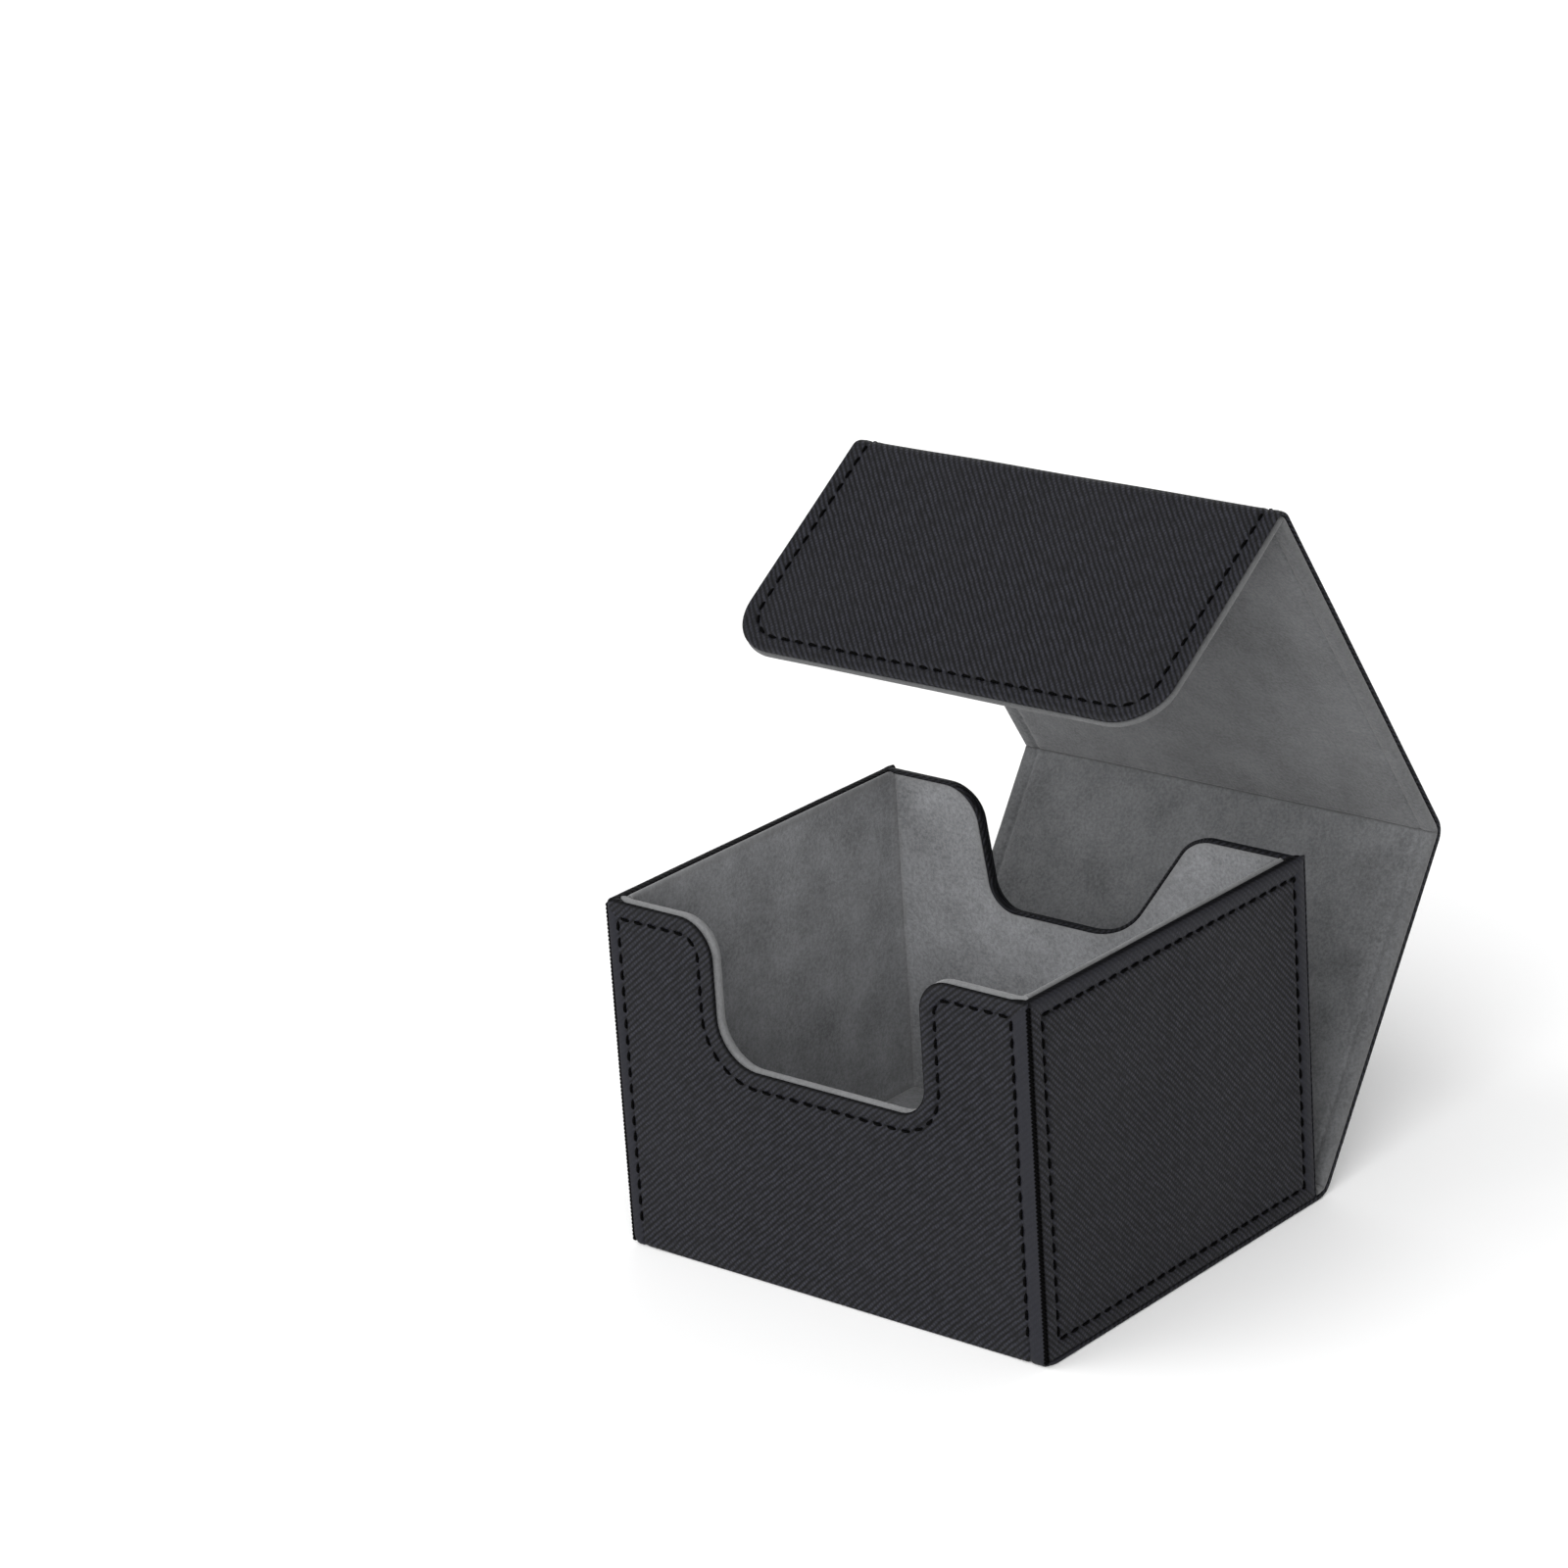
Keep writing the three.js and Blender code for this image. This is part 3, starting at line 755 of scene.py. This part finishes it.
def leatherette():
    """Black coated cloth, embossed with fine slanting ribs."""
    n = Nodes("leatherette")
    uv = n.sheet_map()
    split = n.add("ShaderNodeSeparateXYZ")
    n.link(uv, split.inputs[0])
    across, along = split.outputs[0], split.outputs[1]
    drift = n.times_plus(n.noise(uv, 260, 2), 0.00044, -0.00022)
    fine = n.times_plus(n.noise(n.scaled(uv, (1.6, 0.5, 1)), 1500, 1), 0.00034, -0.00017)
    ridge = n.sine(n.times(n.math("ADD", n.math("ADD", across, drift), fine), TURN / RIB_PITCH))
    wander = n.times_plus(n.noise(uv, 700, 2), 0.0012, along)
    strands = n.sine(n.times(wander, TURN / STRAND_PITCH))
    breaks = n.spread(n.noise(n.scaled(uv, (1, 0.35, 1)), 900, 2), 0.3, 0.7)
    body = n.times(ridge, n.times_plus(breaks, 0.8, 0.5))
    body = n.times(body, n.times_plus(strands, 0.4, 0.72))
    hem = n.times(n.attribute("hem"), 0.85)
    ribbed = n.times(body, n.math("SUBTRACT", 1.0, hem))
    body = n.math("ADD", ribbed, n.times(hem, 0.62))
    grain = n.noise(n.where(), 5200, 2, 0.6)
    height = n.times_plus(grain, 0.22, body)
    n.bump(height, 0.00015)
    broad = n.spread(n.noise(n.where(), 34, 3), 0.3, 0.7)
    rib_tone = n.mix(body, grey(0.0003, (0.97, 1, 1.3)), grey(0.0185, (0.97, 1, 1.38)))
    toned = n.mix(n.times(broad, 0.2), rib_tone, grey(0.0105, (1, 1, 1.2)))
    # Lighter in patches near the edges: partly rubbed wear, partly a painted highlight on the
    # rounded edges.
    patches = n.spread(n.noise(n.where(), 420, 3), 0.35, 0.75)
    wear_and_highlight = n.times(n.times(n.attribute("edge"), patches), 0.25)
    edge_lightened = n.mix(wear_and_highlight, toned, grey(0.02))
    # The rim attribute paints the edges near black: partly edge paint, partly painted shade on the
    # turned rims and under the seamed edges' noses.
    n.set("Base Color", n.mix(n.attribute("rim"), edge_lightened, grey(0.001)))
    shine = n.times_plus(broad, 0.3, n.times(body, 0.7))
    n.set("Roughness", n.spread(shine, 0, 1, 0.66, 0.5))
    n.set("Specular IOR Level", n.spread(n.attribute("rim"), 0, 1, 0.15, 0.03))
    return n.material


def microsuede(name, level):
    """Grey brushed lining: mottled, with a short nap that catches the light at a grazing angle."""
    n = Nodes(name)
    where = n.where()
    tint = (0.98, 1, 1.04)
    cloud = n.spread(n.noise(where, 105, 4, 0.6), 0.3, 0.7)
    blotch = n.spread(n.noise(where, 30, 3), 0.35, 0.65)
    nap = n.spread(n.noise(where, 1500, 3, 0.7), 0.36, 0.64)
    streak = n.spread(n.noise(n.scaled(n.sheet_map(), (1, 0.09, 1)), 420, 3, 0.6), 0.35, 0.65)
    tone = n.math("ADD", n.times_plus(cloud, 0.36, n.times(blotch, 0.18)),
                  n.times_plus(nap, 0.42, n.times(streak, 0.04)))
    # level scales the whole colour: a painted lift or painted shade for where this copy of the
    # fabric sits.
    colour = n.mix(tone, grey(0.085 * level, tint), grey(0.245 * level, tint))
    # Darker and flatter in tone towards the turned edges, over the edge attribute's band.
    edge_darkened = n.mix(n.times(n.attribute("edge"), 0.5), colour, grey(0.115 * level))
    # Painted shade: the crease attribute darkens the middle of each fold.
    n.set("Base Color", n.mix(n.times(n.attribute("crease"), 0.6), edge_darkened, grey(0.04)))
    n.bump(n.times_plus(nap, 0.3, n.times(streak, 0.12)), 0.00016)
    n.set("Roughness", n.spread(nap, 0, 1, 0.86, 1.0))
    n.set("Specular IOR Level", 0.15)
    n.set("Sheen Weight", 0.2)
    n.set("Sheen Roughness", 0.5)
    return n.material


def thread():
    """Black waxed sewing thread: the twist runs round it."""
    n = Nodes("thread")
    uv = n.sheet_map()
    split = n.add("ShaderNodeSeparateXYZ")
    n.link(uv, split.inputs[0])
    twist = n.sine(n.math("ADD", n.times(split.outputs[0], TURN / TWIST_PITCH),
                          n.times(split.outputs[1], TURN)))
    fibre = n.noise(n.where(), 4200, 2)
    n.bump(n.times_plus(fibre, 0.3, twist), 0.00006)
    tone = n.times_plus(fibre, 0.3, n.times(twist, 0.7))
    n.set("Base Color", n.mix(tone, grey(0.0002), grey(0.002)))
    n.set("Roughness", n.spread(fibre, 0.3, 0.7, 0.6, 0.8))
    n.set("Specular IOR Level", 0.02)
    return n.material


def chipboard():
    """Grey-brown pressed board with flecks of fibre."""
    n = Nodes("chipboard")
    where = n.where()
    fleck = n.spread(n.noise(where, 900, 4, 0.7), 0.35, 0.65)
    layer = n.noise(n.scaled(where, (1, 1, 6)), 700, 2)
    colour = n.mix(fleck, (0.17, 0.145, 0.115, 1), (0.27, 0.235, 0.19, 1))
    n.set("Base Color", n.mix(n.times(layer, 0.4), colour, (0.21, 0.185, 0.15, 1)))
    n.bump(n.math("ADD", fleck, layer), 0.00008)
    n.set("Roughness", n.spread(fleck, 0, 1, 0.95, 0.8))
    return n.material


def nickel():
    """Nickel plating with fine scuffs."""
    n = Nodes("nickel")
    where = n.where()
    scuff = n.noise(n.scaled(where, (1, 1, 0.2)), 3000, 3, 0.7)
    cloud = n.noise(where, 160, 3)
    n.set("Base Color", n.mix(cloud, (0.55, 0.53, 0.50, 1), (0.66, 0.64, 0.60, 1)))
    wear = n.times_plus(scuff, 0.6, n.times(cloud, 0.4))
    n.set("Roughness", n.spread(wear, 0.3, 0.7, 0.22, 0.42))
    n.bump(scuff, 0.00001)
    n.set("Metallic", 1.0)
    return n.material


def floor_paint():
    """The studio's white floor."""
    n = Nodes("studio_floor")
    tone = n.noise(n.where(), 3.0, 2)
    n.set("Base Color", n.mix(tone, grey(0.93), grey(0.95)))
    n.set("Roughness", 0.9)
    n.set("Specular IOR Level", 0.1)
    return n.material


LEATHER, THREAD = leatherette(), thread()
# One fabric in two copies: level paints the box's lining lighter (1.07) and the cover's darker
# (0.6), standing in for the light each gets.
BOX_SUEDE_LIT, COVER_SUEDE_SHADED = microsuede("microsuede", 1.07), microsuede("cover_microsuede_shaded", 0.6)
BOARD, NICKEL = chipboard(), nickel()


# ---- soft unevenness ----

def unevenness(amount, seed):
    """A gentle swell over a sheet, the same wherever it is read."""
    rng = np.random.default_rng(seed)
    waves = [(2 * np.pi / rng.uniform(22, 60), rng.uniform(0, np.pi), rng.uniform(0, 2 * np.pi))
             for _ in range(6)]

    def wave(u, v):
        total = 0.0
        for k, a, p in waves:
            total = total + np.sin(k * (u * math.cos(a) + v * math.sin(a)) + p)
        return amount * total / 3
    return wave


SKIN_WAVE = unevenness(0.05, 3)


def front_wave(u, s):
    """The skin's unevenness, fading out before the sheet turns under the box."""
    return SKIN_WAVE(u, s) * smooth((FRONT_BEND - s) / 6)


LINING_WAVE = unevenness(0.10, 8)


# ---- the box ----

def finish_piece(obj, slot, body, *nodes):
    """Hide the CAD nodes that a piece stands for, and attach it to the body it moves with, when it
    has one.
    """
    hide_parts(*nodes)
    if body:
        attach(obj, body)
    return obj


def front_bend(u, v, h, kinds):
    """The front skin widens inwards at its top corners, beside the round lining, rounds off its
    bottom corners, and lies flat under the box."""
    thicker, foot_inset = 1.6, 0.55
    at_top = smooth((np.abs(u) - 47.0) / 3.0) * smooth((1.6 - v) / 0.8) * kinds["seam"]
    at_side = np.sign(u) * smooth((np.abs(u) - EDGE_X + 4) / 4)
    foot = np.clip(1 - np.abs(v - FRONT_BEND - 0.7) / 2.2, 0, 1)
    under = smooth((v - FRONT_BEND - 1.5) / 2)
    u = u + at_side * (CORNER_GAP * under - foot_inset * foot ** 2)
    return u, np.where(v > FRONT_BEND, np.minimum(h, 0), h) * (1 + thicker * at_top)


# Front wall: seamed at its sides and along the rim, and turned under the base.
drop = [(x, HEIGHT - z, r) for x, z, r in FRONT_CUTOUT]
corners = [(-EDGE_X, 0, RIM_CORNER)] + drop
corners += [(EDGE_X, 0, RIM_CORNER), (EDGE_X, JOIN, 0), (-EDGE_X, JOIN, 0)]
outline = Outline(corners, ["seam"] * 5 + ["front_right", "cut", "front_left"])
front_seam = Seam(outline.loop(SEAM_INSET), False)
front_place = wrapped(MID)
front_skin = sheet("front_leatherette", outline, LEATHER_EDGES, front_place, LEATHER, SKIN,
                   degrees=FRONT_RIBS, wave=front_wave, seam=front_seam, bend=front_bend)
finish_piece(front_skin, "leatherette", "box", "front_skin")
# Its stitches end above the bend.
on_wall = [line for line in front_seam.stitches() if line[:, 1].max() < HEIGHT - 2.2]
finish_piece(stitches("front_stitches", on_wall, front_place, THREAD),
             "thread", "box", "front_thread")

# Side walls: a separate panel on each, seamed all round, and turned in over the wall's top.
for side, way in (("right", 1), ("left", -1)):
    place = flat((way * HALF_WIDTH, 0, 0), (0, way, 0), (0, 0, 1), (way, 0, 0))
    low, high = (-FRONT_END, REAR_END) if way > 0 else (-REAR_END, FRONT_END)
    feet = (1.8, 0.5)[::way]        # radii of the two lower corners
    corners = [(low, SIDE_START, feet[0]), (high, SIDE_START, feet[1])]
    corners += [(high, HEIGHT, 0.8), (low, HEIGHT, 0.8)]
    ends = ("rear", "seam")[::way]
    outline = Outline(corners, ["seam", ends[0], "folded", ends[1]])
    seam = Seam(outline.loop(SEAM_INSET), True)
    skin = sheet(f"{side}_leatherette", outline, LEATHER_EDGES, place, LEATHER, SKIN,
                 degrees=SIDE_RIBS, wave=SKIN_WAVE, seam=seam)
    finish_piece(skin, "leatherette", "box", f"{side}_skin")
    finish_piece(stitches(f"{side}_stitches", seam.stitches(), place, THREAD),
                 "thread", "box", f"{side}_thread")
    # Close oversewing fills the notch between the panel and the front sheet.
    root = math.sqrt(0.5)
    place = flat((way * (HALF_WIDTH - WHIP_INSET), WHIP_INSET - HALF_DEPTH, 0),
                 (way * root, root, 0), (0, 0, 1), (way * root, -root, 0))
    t = np.linspace(-1, 1, 5)
    whips = [np.column_stack([WHIP_HALF_LENGTH * t, z + WHIP_SLANT * t])
             for z in np.arange(WHIP_START, WHIP_STOP, WHIP_PITCH)]
    piece = stitches(f"{side}_corner_stitches", whips, place, THREAD,
                     radius=WHIP_RADIUS, crown=0.0, dip=0.2)
    finish_piece(piece, "thread", "box", f"{side}_thread")

# Back wall: plain, turned over the rim to the inside.
back_place = flat((0, HALF_DEPTH, 0), (-1, 0, 0), (0, 0, 1), (0, 1, 0))
corners = [(-HALF_WIDTH, SIDE_START, 0.5), (HALF_WIDTH, SIDE_START, 0.5)]
corners += [(HALF_WIDTH, HEIGHT, RIM_CORNER)] + [(-x, z, r) for x, z, r in BACK_CUTOUT]
corners += [(-HALF_WIDTH, HEIGHT, RIM_CORNER)]
kinds = ["plain", "back_corner"] + ["turned"] * 5 + ["back_corner"]
skin = sheet("back_leatherette", Outline(corners, kinds), LEATHER_EDGES, back_place, LEATHER, SKIN,
             degrees=BACK_RIBS, wave=SKIN_WAVE)
finish_piece(skin, "leatherette", "box", "back_skin")


# Linings of the four walls. The front and side rims run out to the box's front corners.
def mitred(half, limit, rim, ends, rounding):
    """A bend for a lining: its turned rim widens towards the given ends, by at most a limit."""
    def bend(u, v, h, kinds):
        side = np.sign(u)
        at_end = np.isin(side, ends) * kinds[rim]
        u = u + side * np.clip(-h, 0, limit) * at_end * smooth((np.abs(u) - half + 10) / 9)
        return u, h * (1 - rounding * at_end * smooth((np.abs(u) - half + 1.2) / 3))
    return bend


def wall_lining(name, half, cutout, kind, place, node, bend=None, round_end=0):
    """A wall's lining. round_end says which end of its rim is rounded off: 1 for positive u."""
    left, right = (1.3 if round_end == way else 0 for way in (-1, 1))
    corners = [(-half, LINING_START, 0.3), (half, LINING_START, 0.3), (half, HEIGHT, right)]
    corners += cutout[::-1] + [(-half, HEIGHT, left)]
    kinds = ["side", "side"] + [kind] * (len(cutout) + 1) + ["side"]

    def wave(u, v):
        into_corner = np.clip(1 - (half - np.abs(u)) / 1.8, 0, 1)
        to_base = np.clip(1 - (v - LINING_START) / 1.8, 0, 1)
        return LINING_WAVE(u, v) + 0.6 * into_corner ** 2 + 0.6 * to_base ** 2

    piece = sheet(name, Outline(corners, kinds, 0.6), LINING_EDGES, place, BOX_SUEDE_LIT, LINING,
                  degrees=NAP, wave=wave, bend=bend)
    return finish_piece(piece, "microsuede", "box", node)


wall_lining("front_microsuede", INNER_WIDTH + 0.2, FRONT_CUTOUT, "rim",
            flat((0, -INNER_DEPTH, 0), (1, 0, 0), (0, 0, 1), (0, 1, 0)), "front_lining",
            mitred(INNER_WIDTH + 0.2, 1.45, "rim", (-1, 1), 0.5))
wall_lining("back_microsuede", INNER_WIDTH + 0.2, BACK_CUTOUT, "tucked",
            flat((0, INNER_DEPTH, 0), (1, 0, 0), (0, 0, 1), (0, -1, 0)), "back_lining")
for side, way in (("right", 1), ("left", -1)):
    wall_lining(f"{side}_microsuede", INNER_DEPTH, [], "side_rim",
                flat((way * INNER_WIDTH, 0, 0), (0, way, 0), (0, 0, 1), (-way, 0, 0)),
                f"{side}_lining",
                mitred(INNER_DEPTH, WALL - SIDE_TURN, "side_rim", (-way,), 0.15), way)

corners = [(-INNER_WIDTH, -INNER_DEPTH, 0.5), (INNER_WIDTH, -INNER_DEPTH, 0.5),
           (INNER_WIDTH, INNER_DEPTH, 0.5), (-INNER_WIDTH, INNER_DEPTH, 0.5)]
piece = sheet("base_microsuede", Outline(corners, ["side"] * 4, 0.8), LINING_EDGES,
              flat((0, 0, WALL), (1, 0, 0), (0, 1, 0), (0, 0, 1)), BOX_SUEDE_LIT, LINING,
              degrees=NAP, wave=LINING_WAVE)
finish_piece(piece, "microsuede", "box", "base_lining")

# ---- the base and the cover ----

def wrap_point(s, level=0.0):
    """A point at a level from the wrap line, in metres."""
    y, z, ny, nz = (float(x[0]) for x in wrap_at(np.array([s])))
    return (0.0, (y + level * ny) * MM, (z + level * nz) * MM)


def seam_phase(s):
    """Turns of the cover's stitch pattern at a distance along the wrap."""
    return (s - REAR - FIRST_STITCH) / STITCH_PITCH


def side_stitches(start, end):
    """Centre lines of the stitches along both sides, left then right, between two distances."""
    found = {"left": [], "right": []}
    x = HALF_WIDTH - SEAM_INSET["seam"]
    t = np.linspace(-1, 1, 7)
    for n in range(round((WRAP_END - REAR) / STITCH_PITCH)):
        middle = REAR + FIRST_STITCH + (n + 0.5) * STITCH_PITCH
        if start < middle <= end:
            for side, way in (("left", -1), ("right", 1)):
                line = np.column_stack([way * x + t * STITCH_SLANT, middle + t * STITCH_LENGTH / 2])
                found[side].append(line)
    return found


outside = wrapped(MID)
base_skin = strip("base_leatherette", JOIN, REAR, LEATHER_EDGES["plain"], outside, LEATHER, SKIN,
                  degrees=COVER_RIBS)
wrap_point(REAR_FOLD)
wrap_point(REAR)
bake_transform(base_skin)
finish_piece(base_skin, "leatherette", None, "base_skin", "rear_fold_skin")

inside_face = wrapped(COVER_INSIDE, -1)
for name, follows, start, fold_start, end, fold in (
        ("rear_cover", "top_cover", REAR, TOP_FOLD, TOP, "top_fold"),
        ("top_cover", "flap", TOP, FLAP_FOLD, FLAP, "flap_fold")):
    skin = strip(f"{name}_leatherette", start, end, LEATHER_EDGES["flap"], outside, LEATHER, SKIN,
                 degrees=COVER_RIBS, wave=SKIN_WAVE, phase=seam_phase)
    bend_ends = wrap_point(fold_start), wrap_point(end)
    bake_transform(skin)
    finish_piece(skin, "leatherette", None, f"{name}_skin", f"{fold}_skin")
    for side, lines in side_stitches(start, end).items():
        piece = stitches(f"{name}_stitches_{side}", lines, outside, THREAD)
        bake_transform(piece)
        finish_piece(piece, "thread", None, f"{name}_thread_{side}")

# The flap: rounded free corners, seamed round its three free edges.
FLAP_CORNERS = [(-HALF_WIDTH, FLAP, 0), (HALF_WIDTH, FLAP, 0),
                (HALF_WIDTH, WRAP_END, FLAP_CORNER), (-HALF_WIDTH, WRAP_END, FLAP_CORNER)]
outline = Outline(FLAP_CORNERS, ["cut", "flap", "flap", "flap"])
flap_seam = Seam(outline.loop(SEAM_INSET), False, phase=float(seam_phase(FLAP)) % 1)
skin = sheet("flap_leatherette", outline, LEATHER_EDGES, outside, LEATHER, SKIN,
             degrees=COVER_RIBS, wave=SKIN_WAVE, seam=flap_seam)
finish_piece(skin, "leatherette", "flap", "flap_skin")
finish_piece(stitches("flap_stitches", flap_seam.stitches(), outside, THREAD),
             "thread", "flap", "flap_thread")

# Linings of the cover, turned over the boards' edges and creased in the folds.
LINING_BLEND = COVER_INSIDE - 0.15      # a level just past the linings' faces
CREASES = [(REAR_FOLD + REAR) / 2, (TOP_FOLD + TOP) / 2, (FLAP_FOLD + FLAP) / 2]


def painted_crease_shade(s):
    """Painted shade in the folds: how dark the lining is at a distance along the wrap, a line in
    the middle of each fold.
    """
    return sum(hump(s - middle, 0.42) for middle in CREASES)


def creased(u, s):
    """The cover linings' unevenness, with a crease in each fold."""
    dip = 0.0
    for middle in CREASES:
        dip = dip + 0.18 * hump(s - middle, 1.0) + 0.28 * hump(s - middle, 0.4)
    return LINING_WAVE(u, s) - dip


for name, before, after, start, fold_start, end, phase, nodes in (
        ("rear_fold", "box", "rear_cover", REAR_FOLD, REAR_FOLD, REAR, None,
         ["rear_fold_lining"]),
        ("rear_cover", "rear_cover", "top_cover", REAR, TOP_FOLD, TOP, seam_phase,
         ["rear_cover_lining", "top_fold_lining"]),
        ("top_cover", "top_cover", "flap", TOP, FLAP_FOLD, FLAP, seam_phase,
         ["top_cover_lining", "flap_fold_lining"])):
    piece = strip(f"{name}_microsuede", start, end, COVER_EDGES["lip"], inside_face, COVER_SUEDE_SHADED,
                  COVER_LINING, degrees=NAP, step=0.35, wave=creased, phase=phase, depth=0.85,
                  crease=painted_crease_shade)
    bend_ends = [wrap_point(s, LINING_BLEND) for s in (fold_start, end)]
    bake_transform(piece)
    finish_piece(piece, "microsuede", None, *nodes)
piece = sheet("flap_microsuede", Outline(FLAP_CORNERS, ["cut", "lip", "lip", "lip"]), COVER_EDGES,
              inside_face, COVER_SUEDE_SHADED, COVER_LINING, degrees=NAP, wave=creased)
finish_piece(piece, "microsuede", "flap", "flap_lining")

# Boards and magnets stay as the frame has them, but for their materials.
for name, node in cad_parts.items():
    if name.endswith("board"):
        node.data.materials.clear()
        node.data.materials.append(BOARD)
    elif "magnet" in name:
        node.data.materials.clear()
        node.data.materials.append(NICKEL)

# ---- stage, light and camera ----

bm = bmesh.new()
bmesh.ops.create_grid(bm, x_segments=24, y_segments=24, size=15.0)
mesh = bpy.data.meshes.new("floor")
bm.to_mesh(mesh)
bm.free()
mesh.materials.append(floor_paint())
add_object("floor", mesh)

world = bpy.data.worlds.new("studio")
world.use_nodes = True
background = world.node_tree.nodes["Background"].inputs
background["Color"].default_value = (1, 1, 1, 1)
background["Strength"].default_value = 0.44
bpy.context.scene.world = world


def direction(a, e):
    """Unit vector towards an azimuth, 0 in front of the box, and an elevation."""
    return Vector((math.sin(a) * math.cos(e), -math.cos(a) * math.cos(e), math.sin(e)))


def sun(name, azimuth, elevation, softness, strength):
    """A far light, placed by where it comes from, with its angles in degrees."""
    lamp = bpy.data.lights.new(name, "SUN")
    lamp.angle = math.radians(softness)
    lamp.energy = strength
    obj = add_object(name, lamp)
    towards = direction(math.radians(azimuth), math.radians(elevation))
    obj.location = towards
    obj.rotation_euler = towards.to_track_quat("Z", "Y").to_euler()


sun("key", azimuth=28, elevation=24, softness=60, strength=3.5)
sun("fill", azimuth=-42, elevation=34, softness=60, strength=1.5)
sun("back", azimuth=195, elevation=30, softness=60, strength=0.8)

AZIMUTH, ELEVATION, ROLL = (math.radians(a) for a in (41.44, 19.89, -3.96))
DISTANCE = 1.0188
TARGET = Vector((-0.0336, -0.01029, 0.09014))
back = direction(AZIMUTH, ELEVATION)
right = (-back).cross(Vector((0, 0, 1))).normalized()
down = (-back).cross(right)
turned_right = right * math.cos(ROLL) - down * math.sin(ROLL)
turned_down = right * math.sin(ROLL) + down * math.cos(ROLL)
camera_data = bpy.data.cameras.new("camera")
camera_data.sensor_width = 36
camera_data.lens = 119.45
camera_data.clip_start = 0.05
camera_data.clip_end = 20
camera = add_object("camera", camera_data)
placed = Matrix((turned_right, -turned_down, back)).transposed().to_4x4()
placed.translation = TARGET + back * DISTANCE
camera.matrix_world = placed
bpy.context.scene.camera = camera
bpy.context.scene.view_settings.view_transform = "Standard"
